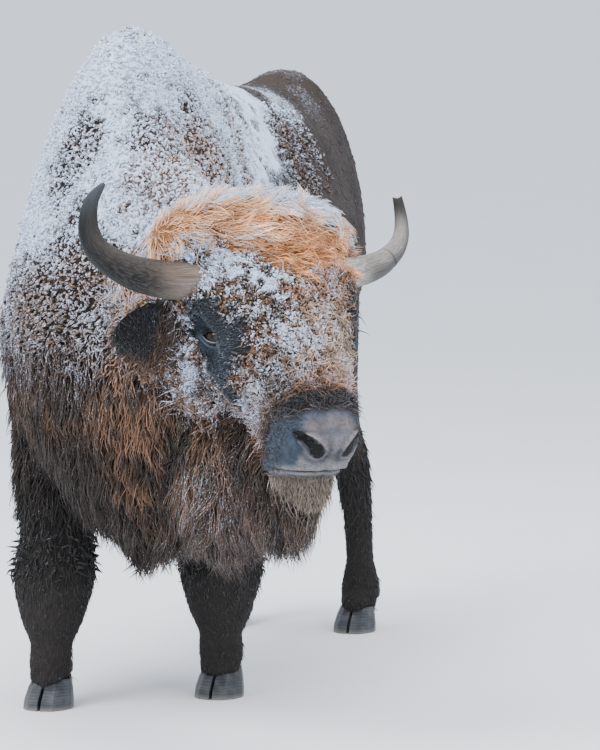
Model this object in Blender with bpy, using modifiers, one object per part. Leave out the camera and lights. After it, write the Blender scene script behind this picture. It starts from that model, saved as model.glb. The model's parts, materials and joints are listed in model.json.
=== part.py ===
"""A European bison bull standing with its head turned to its left, as a life-size still model.

The frame is +Z up and in metres. The bull faces -Y, so +X is its left. The origin is the middle of the
floor under it. The solids hold the animal out to the tips of its coat. The flesh is lofted in lengths,
fused into one body by a voxel remesh, and parted into nodes by thin cuts.
"""

import math

import bmesh
import bpy
from mathutils import Matrix, Vector

# Driving dimensions, in metres
HUMP_HEIGHT = 1.72  # floor to the top of the hump's coat
HORN_SPREAD = 0.86  # across the outside of both horns
LEFT_HORN_ROOT = 0.92  # thickness of the left horn at its root, against the right one
LEFT_HORN_TAPER = 0.34  # how much more of its thickness the left horn has lost at its end
LEFT_HORN_WORN = 5  # rows worn away from the end of the left horn
FOOT_TRACK = 0.17  # midline to a fore foot
CUT = 0.0006  # width of the cuts that part the nodes
CLEARANCE = 0.0004  # gap round a piece that is set into the flesh
VOXEL = 0.014  # grain of the fused body
BODY_TRIANGLES = 3300

# The head's own frame: origin midway between the horns, -Y along the face to the nose, +Z out of the brow
HEAD_PLACE = Vector((0.528, -0.567, 1.142))
HEAD_TURN = math.radians(45)  # to the bull's left
HEAD_DROP = math.radians(46)  # nose below the horn line

EYE = (0.148, -0.130, -0.064)  # middle of the left eyeball in the head's frame
EYE_RADIUS = 0.023

# Feet on the floor, named by end and side: the fore feet are part way through a step
FEET = {
    ("fore", "right"): (-FOOT_TRACK - 0.015, -0.115),
    ("fore", "left"): (FOOT_TRACK, 0.175),
    ("hind", "right"): (-0.18, 1.275),
    ("hind", "left"): (0.188, 1.30),
}

COLOURS = {
    "coat": ((0.20, 0.105, 0.050), 0.90, 0.0),
    "coat_dark": ((0.045, 0.028, 0.020), 0.90, 0.0),
    "horn": ((0.13, 0.115, 0.10), 0.45, 0.0),
    "hoof": ((0.035, 0.032, 0.032), 0.50, 0.0),
    "eye": ((0.010, 0.007, 0.006), 0.08, 0.0),
    "nose": ((0.10, 0.095, 0.105), 0.40, 0.0),
}


# ---------------------------------------------------------------- helpers


def clear_scene():
    for obj in list(bpy.data.objects):
        bpy.data.objects.remove(obj)


def material(name):
    """A Principled material with the named colour, roughness and metallic value."""
    if name in bpy.data.materials:
        return bpy.data.materials[name]
    colour, roughness, metallic = COLOURS[name]
    made = bpy.data.materials.new(name)
    made.use_nodes = True
    shader = made.node_tree.nodes["Principled BSDF"]
    shader.inputs["Base Color"].default_value = (*colour, 1.0)
    shader.inputs["Roughness"].default_value = roughness
    shader.inputs["Metallic"].default_value = metallic
    return made


def add_object(name, mesh, collection):
    obj = bpy.data.objects.new(name, mesh)
    collection.objects.link(obj)
    return obj


def mesh_from(name, build):
    """A mesh of triangles, made by a function that fills a bmesh."""
    bm = bmesh.new()
    build(bm)
    bmesh.ops.recalc_face_normals(bm, faces=bm.faces)
    bmesh.ops.triangulate(bm, faces=bm.faces)
    mesh = bpy.data.meshes.new(name)
    bm.to_mesh(mesh)
    bm.free()
    return mesh


def apply_modifiers(obj):
    """Replaces the object's mesh by its evaluated one."""
    graph = bpy.context.evaluated_depsgraph_get()
    mesh = bpy.data.meshes.new_from_object(obj.evaluated_get(graph))
    obj.modifiers.clear()
    obj.data = mesh


def boolean(obj, other, operation):
    modifier = obj.modifiers.new(operation, "BOOLEAN")
    modifier.operation = operation
    modifier.object = other
    apply_modifiers(obj)


def eased(rows, count):
    """Rows of numbers resampled to count rows, on a Catmull-Rom curve through the given ones."""
    last = len(rows) - 1
    made = []
    for k in range(count):
        place = last * k / (count - 1)
        i = min(int(place), last - 1)
        t = place - i
        before, a, b, after = (rows[max(0, min(last, j))] for j in (i - 1, i, i + 1, i + 2))
        row = []
        for p0, p1, p2, p3 in zip(before, a, b, after):
            cubic = 3 * (p1 - p2) + p3 - p0
            square = 2 * p0 - 5 * p1 + 4 * p2 - p3
            row.append(p1 + 0.5 * t * (p2 - p0 + t * (square + t * cubic)))
        made.append(row)
    return made


def loft(bm, rings):
    """A closed tube through rings of as many points each, with flat ends."""
    rows = [[bm.verts.new(point) for point in ring] for ring in rings]
    sides = len(rows[0])
    for low, high in zip(rows, rows[1:]):
        for k in range(sides):
            bm.faces.new((low[k], low[(k + 1) % sides], high[(k + 1) % sides], high[k]))
    bm.faces.new(rows[0])
    bm.faces.new(rows[-1])


def signed_power(value, power):
    return math.copysign(abs(value) ** power, value)


def body_ring(width, top, middle, bottom, tent=1.0, keel=1.0, sides=32):
    """An upright section as (sideways, up) pairs, widest at middle.

    Above the middle it goes from round, with tent 1, to a tented hump with tent 2. Below it narrows to a
    keel where keel is over 1.
    """
    ring = []
    for k in range(sides):
        turn = 2 * math.pi * k / sides
        side, up = math.sin(turn), math.cos(turn)
        if up > 0:
            ring.append((width * side, middle + (top - middle) * up**tent))
        else:
            ring.append((width * signed_power(side, keel), middle + (middle - bottom) * up))
    return ring


def round_ring(centre, across, along, sides=16):
    """A level oval round a point: across is half its width in X, and along half its length in Y."""
    turns = (2 * math.pi * k / sides for k in range(sides))
    return [(centre[0] + across * math.cos(a), centre[1] + along * math.sin(a), centre[2]) for a in turns]


def egg(bm, place, radii, turn=None, segments=24):
    """An ellipsoid with its centre at place, turned by a matrix."""
    frame = Matrix.Translation(place) @ (turn or Matrix.Identity(4)) @ Matrix.Diagonal((*radii, 1.0))
    bmesh.ops.create_uvsphere(bm, u_segments=segments, v_segments=segments // 2, radius=1.0, matrix=frame)


def head_frame():
    turn = Matrix.Rotation(HEAD_TURN, 4, "Z") @ Matrix.Rotation(HEAD_DROP, 4, "X")
    return Matrix.Translation(HEAD_PLACE) @ turn


def tube_along(bm, rows, sides=16):
    """A tube along a bent path. Each row is x, y, z, radius, and the ends are flat."""
    points = [Vector(row[:3]) for row in rows]
    side = None
    rings = []
    for i, row in enumerate(rows):
        ahead = (points[min(i + 1, len(rows) - 1)] - points[max(i - 1, 0)]).normalized()
        if side is None:
            side = ahead.cross(Vector((0, 0, 1)) if abs(ahead.z) < 0.9 else Vector((0, 1, 0)))
        side = (side - ahead * side.dot(ahead)).normalized()
        other = ahead.cross(side)
        turns = (2 * math.pi * k / sides for k in range(sides))
        rings.append([points[i] + row[3] * (side * math.cos(a) + other * math.sin(a)) for a in turns])
    loft(bm, rings)


# ---------------------------------------------------------------- the flesh, out to the coat


def trunk(bm):
    """Chest, hump, barrel and rump. Rows: y, half width, top, height where widest, bottom, tent."""
    hump = HUMP_HEIGHT
    rows = [
        (-0.37, 0.10, hump - 0.53, 0.98, 0.80, 1.0),
        (-0.31, 0.22, hump - 0.26, 0.96, 0.64, 1.3),
        (-0.20, 0.30, hump - 0.08, 0.95, 0.55, 1.75),
        (-0.08, 0.335, hump - 0.004, 0.95, 0.52, 1.9),
        (0.04, 0.345, hump, 0.95, 0.53, 1.9),
        (0.20, 0.342, hump - 0.055, 0.95, 0.56, 2.05),
        (0.45, 0.332, hump - 0.132, 0.96, 0.59, 1.8),
        (0.70, 0.318, hump - 0.18, 0.97, 0.62, 1.3),
        (0.93, 0.290, hump - 0.195, 0.98, 0.68, 0.98),
        (1.10, 0.264, hump - 0.178, 1.00, 0.74, 1.08),
        (1.25, 0.237, hump - 0.162, 1.01, 0.78, 1.08),
        (1.39, 0.198, hump - 0.215, 1.02, 0.82, 1.0),
        (1.49, 0.145, hump - 0.34, 1.04, 0.87, 0.95),
        (1.55, 0.07, hump - 0.52, 1.05, 0.94, 1.0),
    ]
    rings = []
    for y, width, top, middle, bottom, tent in eased(rows, 44):
        rings.append([(x, y, z) for x, z in body_ring(width, top, middle, bottom, tent)])
    loft(bm, rings)


def neck(bm):
    """From the shoulders round to the back of the head.

    Rows: x, y, heading in degrees, half width, top, height where widest, bottom.
    """
    rows = [
        (0.00, -0.02, 0, 0.30, 1.60, 1.00, 0.50),
        (0.04, -0.20, 12, 0.30, 1.56, 1.00, 0.44),
        (0.14, -0.34, 26, 0.28, 1.47, 1.00, 0.42),
        (0.285, -0.435, 40, 0.24, 1.38, 0.98, 0.47),
        (0.42, -0.51, 45, 0.195, 1.33, 0.97, 0.58),
        (0.51, -0.59, 45, 0.14, 1.27, 0.97, 0.70),
    ]
    rings = []
    for x, y, heading, width, top, middle, bottom in eased(rows, 18):
        left = Vector((math.cos(math.radians(heading)), math.sin(math.radians(heading)), 0))
        ring = body_ring(width, top, middle, bottom, tent=1.4, keel=1.35)
        rings.append([Vector((x, y, 0)) + left * side + Vector((0, 0, z)) for side, z in ring])
    loft(bm, rings)


def skull(bm):
    """Brow, cheeks and muzzle.

    Rows, in the head's frame: distance towards the nose, half width, top, height where widest, bottom.
    """
    rows = [
        (-0.17, 0.11, 0.04, -0.06, -0.16),
        (-0.10, 0.19, 0.09, -0.06, -0.26),
        (0.00, 0.228, 0.120, -0.05, -0.30),
        (0.10, 0.218, 0.124, -0.05, -0.30),
        (0.18, 0.188, 0.112, -0.05, -0.28),
        (0.26, 0.156, 0.092, -0.05, -0.25),
        (0.33, 0.124, 0.066, -0.05, -0.225),
        (0.39, 0.100, 0.050, -0.055, -0.21),
        (0.44, 0.094, 0.043, -0.055, -0.20),
        (0.475, 0.089, 0.034, -0.055, -0.185),
        (0.50, 0.069, 0.010, -0.060, -0.155),
        (0.514, 0.037, -0.020, -0.065, -0.115),
    ]
    place = head_frame()
    rings = []
    for reach, width, top, middle, bottom in eased(rows, 30):
        ring = body_ring(width, top, middle, bottom)
        rings.append([place @ Vector((side, -reach, up)) for side, up in ring])
    loft(bm, rings)


def crown(bm):
    """The long hair on the poll, behind and between the horns."""
    place = head_frame()
    egg(bm, place @ Vector((-0.02, 0.10, 0.03)), (0.28, 0.12, 0.12), place.to_3x3().to_4x4())


def beard_and_mane(bm):
    """The hair that hangs from the jaw, the throat and the brisket."""
    turn = Matrix.Rotation(HEAD_TURN, 4, "Z")
    egg(bm, (0.635, -0.675, 0.705), (0.08, 0.12, 0.18), turn)
    egg(bm, (0.575, -0.605, 0.675), (0.110, 0.14, 0.170), turn)
    egg(bm, (0.42, -0.52, 0.67), (0.15, 0.17, 0.21), turn)
    egg(bm, (0.135, -0.295, 0.61), (0.115, 0.16, 0.23), turn)


def fore_leg(bm, side):
    """Rows up from the pastern: height, share of the way from foot to elbow, half widths in X and Y."""
    foot = Vector((*FEET["fore", side], 0))
    elbow = Vector((math.copysign(0.208, foot.x), 0.06, 0))
    rows = [
        (0.035, 0.00, 0.056, 0.056),
        (0.075, 0.02, 0.054, 0.058),
        (0.115, 0.05, 0.060, 0.064),
        (0.16, 0.09, 0.057, 0.060),
        (0.21, 0.14, 0.080, 0.082),
        (0.29, 0.24, 0.102, 0.102),
        (0.40, 0.40, 0.118, 0.118),
        (0.54, 0.62, 0.133, 0.140),
        (0.70, 0.90, 0.146, 0.168),
        (0.88, 1.05, 0.142, 0.20),
        (1.05, 1.10, 0.11, 0.17),
    ]
    rings = []
    for height, share, across, along in eased(rows, 26):
        centre = foot.lerp(elbow, share) + Vector((0, 0, height))
        rings.append(round_ring(centre, across, along))
    loft(bm, rings)


def hind_leg(bm, side):
    """Rows up from the pastern: height, steps inwards and back from the foot, half widths in X and Y."""
    foot = FEET["hind", side]
    outward = math.copysign(1.0, foot[0])
    rows = [
        (0.035, 0.000, 0.010, 0.052, 0.056),
        (0.075, 0.000, 0.030, 0.051, 0.056),
        (0.12, 0.002, 0.050, 0.057, 0.062),
        (0.18, 0.006, 0.058, 0.042, 0.049),
        (0.28, 0.014, 0.070, 0.041, 0.048),
        (0.40, 0.033, 0.085, 0.047, 0.056),
        (0.49, 0.050, 0.090, 0.054, 0.080),
        (0.56, 0.062, 0.070, 0.057, 0.095),
        (0.65, 0.074, 0.030, 0.070, 0.130),
        (0.78, 0.080, -0.030, 0.088, 0.195),
        (0.95, 0.090, -0.055, 0.104, 0.240),
        (1.15, 0.095, -0.040, 0.108, 0.220),
        (1.32, 0.100, -0.020, 0.080, 0.15),
    ]
    rings = []
    for height, inwards, back, across, along in eased(rows, 30):
        centre = (foot[0] - outward * inwards, foot[1] + back, height)
        rings.append(round_ring(centre, across, along))
    loft(bm, rings)


def stifle(bm, side):
    """The knee fold in front of each thigh."""
    outward = math.copysign(1.0, FEET["hind", side][0])
    egg(bm, (outward * 0.14, 1.09, 0.83), (0.085, 0.13, 0.17))


def tail(bm):
    """The tail and its switch. Rows: x, y, z, radius."""
    rows = [
        (0.000, 1.46, 1.40, 0.050),
        (0.000, 1.555, 1.345, 0.040),
        (0.004, 1.625, 1.25, 0.030),
        (0.008, 1.65, 1.12, 0.028),
        (0.010, 1.655, 0.98, 0.030),
        (0.010, 1.655, 0.84, 0.044),
        (0.008, 1.65, 0.72, 0.052),
        (0.006, 1.645, 0.62, 0.040),
        (0.004, 1.64, 0.55, 0.012),
    ]
    tube_along(bm, eased(rows, 30))


def sheath(bm):
    """The tuft on the belly that marks a bull."""
    egg(bm, (0.0, 0.86, 0.63), (0.055, 0.12, 0.07))


def socket(bm, side):
    """The hollow, bare of long hair, that each eye looks out of."""
    outward = 1.0 if side == "left" else -1.0
    place = head_frame()
    turn = place.to_3x3().to_4x4()
    middle = place @ Vector((outward * (EYE[0] + 0.070), EYE[1] - 0.025, EYE[2] - 0.008))
    egg(bm, middle, (0.060, 0.095, 0.080), turn)


def fused_body(collection):
    """All the flesh as one mesh: the lofts overlap, and the remesh keeps their outside."""

    def build(bm):
        trunk(bm)
        neck(bm)
        skull(bm)
        crown(bm)
        beard_and_mane(bm)
        for side in ("left", "right"):
            fore_leg(bm, side)
            hind_leg(bm, side)
            stifle(bm, side)
        tail(bm)
        sheath(bm)

    body = add_object("body", mesh_from("body", build), collection)
    remesh = body.modifiers.new("fuse", "REMESH")
    remesh.mode = "VOXEL"
    remesh.voxel_size = VOXEL
    smooth = body.modifiers.new("round", "SMOOTH")
    smooth.factor = 0.5
    smooth.iterations = 5
    apply_modifiers(body)
    for side in ("left", "right"):
        hollow_mesh = mesh_from("hollow", lambda bm, side=side: socket(bm, side))
        hollow = add_object("hollow", hollow_mesh, collection)
        boolean(body, hollow, "DIFFERENCE")
        bpy.data.objects.remove(hollow)
    triangles = sum(len(face.vertices) - 2 for face in body.data.polygons)
    thin = body.modifiers.new("thin", "DECIMATE")
    thin.ratio = BODY_TRIANGLES / triangles
    apply_modifiers(body)
    return body


# ---------------------------------------------------------------- the hard parts


def horn(bm, side):
    """Out from the brow, then up and in. The left horn is slimmer, and its tip is worn away.

    Rows, in the head's frame: sideways, back, up, radius.
    """
    bend = HORN_SPREAD / 2 - 0.015
    rows = [
        (0.145, -0.012, 0.008, 0.047),
        (0.195, -0.007, 0.001, 0.0465),
        (0.245, 0.000, -0.004, 0.0455),
        (0.295, 0.014, -0.006, 0.0435),
        (bend - 0.079, 0.034, -0.008, 0.040),
        (bend - 0.037, 0.066, -0.007, 0.0345),
        (bend - 0.011, 0.100, -0.002, 0.030),
        (bend, 0.136, 0.009, 0.0265),
        (bend - 0.001, 0.172, 0.030, 0.0225),
        (bend - 0.011, 0.200, 0.056, 0.017),
        (bend - 0.028, 0.215, 0.081, 0.010),
        (bend - 0.039, 0.221, 0.093, 0.004),
    ]
    path = eased(rows, 21)
    outward = -1.0
    if side == "left":
        outward = 1.0
        path = path[:-LEFT_HORN_WORN]
        loss = LEFT_HORN_TAPER / (len(path) - 1)
        path = [(*row[:3], row[3] * (LEFT_HORN_ROOT - loss * k)) for k, row in enumerate(path)]
    place = head_frame()
    bent = []
    for across, back, up, radius in path:
        bent.append((*(place @ Vector((outward * across, back, up))), radius))
    tube_along(bm, bent, sides=12)


def eyeball(bm, side):
    outward = 1.0 if side == "left" else -1.0
    egg(bm, head_frame() @ Vector((outward * EYE[0], *EYE[1:])), (EYE_RADIUS,) * 3, segments=12)


def ear(bm, side):
    """A leaf-shaped cup that hangs behind and below the horn."""
    outward = 1.0 if side == "left" else -1.0
    place = head_frame()
    root = place @ Vector((outward * 0.195, -0.018, -0.100))
    tip = place @ Vector((outward * 0.318, 0.008, -0.230))
    along = (tip - root).normalized()
    front = (place.to_3x3() @ Vector((outward * 0.25, -0.75, 0.60))).normalized()
    front = (front - along * front.dot(along)).normalized()
    across = along.cross(front)
    rows = [
        # share of the length, half breadth, hollow, half thickness
        (0.00, 0.028, 0.000, 0.020),
        (0.20, 0.040, 0.004, 0.019),
        (0.45, 0.052, 0.012, 0.015),
        (0.70, 0.046, 0.012, 0.012),
        (0.88, 0.030, 0.007, 0.010),
        (1.00, 0.010, 0.002, 0.006),
    ]
    rings = []
    length = (tip - root).length
    for share, breadth, hollow, thick in eased(rows, 7):
        middle = root + along * (length * share)
        ring = []
        for k in range(10):
            turn = 2 * math.pi * k / 10
            side_step, front_step = math.cos(turn), math.sin(turn)
            cup = hollow * (side_step**2 - 1.0 if front_step > 0 else 0.4 * (side_step**2 - 1.0))
            ring.append(middle + across * (breadth * side_step) + front * (thick * front_step + cup))
        rings.append(ring)
    loft(bm, rings)


def nose_pad(bm):
    """The bare pad between and above the nostrils.

    Rows, in the head's frame: distance towards the nose, half width, top, bottom.
    """
    place = head_frame()
    rows = [
        (0.462, 0.040, 0.020, -0.070),
        (0.487, 0.062, 0.024, -0.088),
        (0.507, 0.060, 0.016, -0.092),
        (0.519, 0.042, 0.000, -0.080),
    ]
    rings = []
    for reach, width, top, bottom in eased(rows, 6):
        middle = (top + bottom) / 2
        ring = body_ring(width, top, middle, bottom, sides=16)
        rings.append([place @ Vector((side, -reach, up)) for side, up in ring])
    loft(bm, rings)


def claw(bm, end, side, half):
    """One half of a cloven hoof: flat below and on the cleft side, and sloped in front."""
    foot_x, foot_y = FEET[end, side]
    outward = math.copysign(1.0, foot_x) * (1.0 if half == "outer" else -1.0)
    size = 1.08 if end == "fore" else 1.0
    rows = [
        # height, half length, middle ahead of the foot's centre, breadth
        (0.000, 0.062, 0.020, 0.055),
        (0.020, 0.060, 0.015, 0.054),
        (0.045, 0.051, 0.003, 0.049),
        (0.066, 0.040, -0.010, 0.042),
    ]
    rings = []
    for height, length, ahead, breadth in rows:
        ring = []
        for k in range(12):
            turn = 2 * math.pi * k / 12
            forward = math.cos(turn)
            # The outline runs from a blunt toe at the cleft to a round heel.
            out = breadth * abs(math.sin(turn)) ** 0.75 * (1.0 - 0.18 * max(forward, 0.0))
            step = 0.004 if math.sin(turn) < 0 else 0.004 + out
            ring.append(
                (
                    foot_x + outward * size * step,
                    foot_y - size * (ahead + length * forward),
                    height * size,
                )
            )
        rings.append(ring)
    loft(bm, rings)
    bmesh.ops.remove_doubles(bm, verts=bm.verts, dist=0.0002)


def dewclaw(bm, end, side, half):
    """A small blunt claw behind the fetlock."""
    foot_x, foot_y = FEET[end, side]
    outward = math.copysign(1.0, foot_x) * (1.0 if half == "outer" else -1.0)
    back = 0.055 if end == "fore" else 0.098
    tilt = Matrix.Rotation(math.radians(28), 4, "X")
    egg(bm, (foot_x + outward * 0.026, foot_y + back, 0.098), (0.015, 0.018, 0.026), tilt, segments=8)


def hard_pieces(collection):
    """The ears, and all that is not flesh, by name."""
    pieces = {}

    def add(name, build, *choice):
        mesh = mesh_from(name, lambda bm: build(bm, *choice))
        pieces[name] = add_object(name, mesh, collection)

    for side in ("left", "right"):
        add("horn_" + side, horn, side)
        add("eye_" + side, eyeball, side)
        add("ear_" + side, ear, side)
    add("nose_pad", nose_pad)
    for end, side in FEET:
        for half in ("inner", "outer"):
            add(f"hoof_{end}_{side}_{half}", claw, end, side, half)
            add(f"dewclaw_{end}_{side}_{half}", dewclaw, end, side, half)
    return pieces


# ---------------------------------------------------------------- parting the flesh


def parting_cuts():
    """Rows: node that is cut, new node, middle of the cut, its normal into the new node, its radius."""
    place = head_frame()
    heading = Vector((math.sin(HEAD_TURN), -math.cos(HEAD_TURN), 0))
    rows = [
        ("trunk", "head", place @ Vector((0, 0.10, -0.22)), heading + Vector((0, 0, 0.20)), 0.70),
        ("trunk", "neck", (0.07, -0.24, 1.00), (0.35, -1.0, 0.25), 0.75),
        ("trunk", "tail", (0.004, 1.605, 1.29), (0.0, 0.62, -1.0), 0.06),
        ("tail", "tail_switch", (0.010, 1.655, 0.90), (0.0, 0.0, -1.0), 0.075),
    ]
    for side in ("left", "right"):
        fore, hind = FEET["fore", side], FEET["hind", side]
        out = math.copysign(1.0, fore[0])
        elbow = (out * 0.205, fore[1] * 0.25 + 0.045, 0.59)
        knee = (fore[0] * 1.08, fore[1] * 0.78 + 0.01, 0.33)
        thigh = (out * 0.225, hind[1] - 0.04, 0.82)
        hock = (out * 0.155, hind[1] + 0.085, 0.47)
        upper, lower = "foreleg_upper_" + side, "foreleg_lower_" + side
        rows += [("trunk", upper, elbow, (out * 0.70, 0.0, -1.0), 0.20)]
        rows += [(upper, lower, knee, (0.0, 0.0, -1.0), 0.135)]
        upper, lower = "hindleg_upper_" + side, "hindleg_lower_" + side
        rows += [("trunk", upper, thigh, (out * 0.75, 0.35, -1.0), 0.31)]
        rows += [(upper, lower, hock, (0.0, 0.0, -1.0), 0.12)]
    return rows


def loose_pieces(obj, collection):
    """Each separate shell of the object as an object of its own."""
    whole = bmesh.new()
    whole.from_mesh(obj.data)
    todo = set(whole.verts)
    pieces = []
    while todo:
        grown, front = set(), [next(iter(todo))]
        while front:
            vert = front.pop()
            if vert in grown:
                continue
            grown.add(vert)
            front += [edge.other_vert(vert) for edge in vert.link_edges]
        todo -= grown
        part = bmesh.new()
        copies = {}
        for vert in sorted(grown, key=lambda v: v.index):
            copies[vert] = part.verts.new(vert.co)
        faces = {face for vert in grown for face in vert.link_faces}
        for face in sorted(faces, key=lambda f: f.index):
            part.faces.new([copies[vert] for vert in face.verts])
        mesh = bpy.data.meshes.new("piece")
        part.to_mesh(mesh)
        part.free()
        pieces.append(add_object("piece", mesh, collection))
    whole.free()
    bpy.data.objects.remove(obj)
    return pieces


def main_pieces(obj, count, collection):
    """The object's largest pieces, without the slivers that cuts and sockets can leave."""
    pieces = loose_pieces(obj, collection)
    pieces.sort(key=lambda piece: -len(piece.data.vertices))
    for scrap in pieces[count:]:
        bpy.data.objects.remove(scrap)
    return pieces[:count]


def middle_of(obj):
    total = Vector()
    for vert in obj.data.vertices:
        total += vert.co
    return total / len(obj.data.vertices)


def part_off(nodes, source, name, centre, normal, radius, collection):
    """Cuts a node in two with a thin disc. The piece that the normal points into gets the new name."""
    centre, normal = Vector(centre), Vector(normal).normalized()
    frame = Matrix.Translation(centre) @ normal.to_track_quat("Z", "Y").to_matrix().to_4x4()

    def disc(bm):
        sizes = {"segments": 24, "radius1": radius, "radius2": radius, "depth": CUT}
        bmesh.ops.create_cone(bm, cap_ends=True, matrix=frame, **sizes)

    cutter = add_object("cutter", mesh_from("cutter", disc), collection)
    boolean(nodes[source], cutter, "DIFFERENCE")
    bpy.data.objects.remove(cutter)
    pieces = main_pieces(nodes[source], 2, collection)
    if len(pieces) != 2:
        raise ValueError(f"the cut for {name} does not go right through")
    pieces.sort(key=lambda piece: (middle_of(piece) - centre).dot(normal))
    nodes[source], nodes[name] = pieces


def parted_body(body, collection):
    nodes = {"trunk": body}
    for source, name, centre, normal, radius in parting_cuts():
        part_off(nodes, source, name, centre, normal, radius, collection)
    for name, piece in nodes.items():
        piece.name = name
    return nodes


def set_in(body, piece, collection):
    """Takes the piece's space, and a clearance round it, out of the body."""
    grown = add_object("grown", piece.data.copy(), collection)
    swell = grown.modifiers.new("swell", "DISPLACE")
    swell.mid_level = 0.0
    swell.strength = CLEARANCE
    apply_modifiers(grown)
    boolean(body, grown, "DIFFERENCE")
    bpy.data.objects.remove(grown)


def finish_node(obj, slot):
    obj.data.materials.clear()
    obj.data.materials.append(material(slot))
    obj.data.shade_smooth()
    obj.data.set_sharp_from_angle(angle=math.radians(50))


def stand_at_origin(nodes):
    """Moves every mesh so that the origin is the middle of the floor under the bull."""
    corners = [vert.co for node in nodes for vert in node.data.vertices]
    low = Vector([min(point[k] for point in corners) for k in range(3)])
    high = Vector([max(point[k] for point in corners) for k in range(3)])
    shift = Matrix.Translation((-(low.x + high.x) / 2, -(low.y + high.y) / 2, -low.z))
    for node in nodes:
        node.data.transform(shift)


def build_bison():
    clear_scene()
    bison = bpy.data.collections.new("bison")
    bpy.context.scene.collection.children.link(bison)

    hard = hard_pieces(bison)
    body = fused_body(bison)
    for piece in hard.values():
        set_in(body, piece, bison)
    body = main_pieces(body, 1, bison)[0]
    nodes = parted_body(body, bison)

    for name, node in nodes.items():
        finish_node(node, "coat" if name in ("head", "neck", "trunk") else "coat_dark")
    for name, piece in hard.items():
        kind = name.split("_")[0]
        finish_node(piece, {"dewclaw": "hoof", "ear": "coat_dark"}.get(kind, kind))
    stand_at_origin([*nodes.values(), *hard.values()])


build_bison()
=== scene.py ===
"""Looks of a standing European bison bull with snow in its coat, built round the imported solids."""

import json
import math

import bmesh
import bpy
import numpy as np
from mathutils import Matrix, Vector
from mathutils.kdtree import KDTree

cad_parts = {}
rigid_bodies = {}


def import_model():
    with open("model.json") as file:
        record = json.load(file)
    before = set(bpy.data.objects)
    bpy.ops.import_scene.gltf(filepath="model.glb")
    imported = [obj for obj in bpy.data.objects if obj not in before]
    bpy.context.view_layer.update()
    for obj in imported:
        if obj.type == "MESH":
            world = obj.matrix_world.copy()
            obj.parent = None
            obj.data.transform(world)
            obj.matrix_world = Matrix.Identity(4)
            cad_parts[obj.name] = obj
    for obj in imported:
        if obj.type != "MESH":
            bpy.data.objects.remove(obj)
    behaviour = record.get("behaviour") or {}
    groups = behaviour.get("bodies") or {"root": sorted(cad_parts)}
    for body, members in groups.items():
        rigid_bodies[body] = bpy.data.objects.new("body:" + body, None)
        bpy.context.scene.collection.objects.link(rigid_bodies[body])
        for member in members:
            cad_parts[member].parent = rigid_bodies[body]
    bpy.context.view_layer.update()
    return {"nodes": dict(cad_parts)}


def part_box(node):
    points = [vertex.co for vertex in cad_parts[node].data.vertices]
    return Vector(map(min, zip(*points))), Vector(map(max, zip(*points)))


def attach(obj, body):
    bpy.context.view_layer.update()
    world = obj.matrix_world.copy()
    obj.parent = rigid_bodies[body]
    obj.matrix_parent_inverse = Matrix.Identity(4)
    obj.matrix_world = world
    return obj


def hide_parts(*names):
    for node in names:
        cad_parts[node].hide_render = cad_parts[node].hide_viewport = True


for leftover in list(bpy.data.objects):
    bpy.data.objects.remove(leftover)
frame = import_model()

# ---- places, in metres; colours further down are linear
# The head's frame: +X to the bull's left, -Y along the face to the nose, +Z out of the brow.
HEAD_DROP = math.radians(46)
EYE = Vector((0.148, -0.130, -0.064))
EYE_RADIUS = 0.0330
HEAD_FROM_WITHERS = Vector((0.528, -0.567, 1.142))
FLESH = ("head", "neck", "trunk", "tail", "foreleg", "hindleg", "ear", "nose_pad")
CAMERA_PLACE = Vector((4.1735, -11.853, 2.15))  # from the floor below the withers
CAMERA_TURN = math.radians(17.5)
CAMERA_TILT = math.radians(5.995)
CAMERA_LENS = 241.8  # millimetres
VOXEL = 0.009  # grain of the fused solids
PATCH = 0.003  # width of one tuft's place on its unwrap
PIECE_TRIANGLES = 180000  # most in one piece of coat
FLOOR_GAP = 0.004  # lowest hair above the floor
SEED = 20904
SMOOTHING = 26  # passes over the fused solids
ROOT_CELL = 0.008  # roots are spread evenly over cells of this size
EYE_SINK = 0.0088  # how much deeper the eyeball sits than its solid
FLESH_SWELL = 0.0012  # lets neighbouring solids overlap before they are fused
HASH_STEPS = (374761393, 668265263, 1442695041)
HASH_MIX = 1274126177
CLUMP_STEPS = (73856093, 19349663, 83492791)
WORD = 0xFFFFFFFF
LOW_BITS = 0xFFFFFF
rng = np.random.default_rng(SEED)


def middle(node):
    """The middle of a solid's box."""
    low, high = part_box(node)
    return (low + high) / 2


def head_matrix():
    """The head's frame, from the two eyeballs."""
    left, right = middle("eye_left"), middle("eye_right")
    turn = math.atan2(left.y - right.y, left.x - right.x)
    spin = Matrix.Rotation(turn, 4, "Z") @ Matrix.Rotation(HEAD_DROP, 4, "X")
    return Matrix.Translation((left + right) / 2) @ spin @ Matrix.Translation((0, -EYE.y, -EYE.z))


HEAD = head_matrix()
HOME = np.array(HEAD.translation - HEAD_FROM_WITHERS)  # floor below the withers
HEAD_AXES = np.array(HEAD.to_3x3())
HEAD_ORIGIN = np.array(HEAD.translation)


def to_head(points):
    """Points in the head's frame."""
    return (points - HEAD_ORIGIN) @ HEAD_AXES


def from_head(points):
    """Points of the head's frame in the model's."""
    return np.asarray(points, float) @ HEAD_AXES.T + HEAD_ORIGIN


def in_head(*parts):
    """Directions given by their three parts in the head's frame, in the model's."""
    return np.stack(np.broadcast_arrays(*parts), 1) @ HEAD_AXES.T


def foot_place(name):
    """The middle of a foot's two claws."""
    corners = [*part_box(f"hoof_{name}_inner"), *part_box(f"hoof_{name}_outer")]
    return np.array(corners, float).sum(0) / len(corners)


FEET = {name: foot_place(name) for name in ("fore_left", "fore_right", "hind_left", "hind_right")}


# ---- arithmetic
def ramp(x, low, high):
    """0 below low, 1 above high, eased between."""
    t = np.clip((x - low) / (high - low), 0.0, 1.0)
    return t * t * (3.0 - 2.0 * t)


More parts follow.
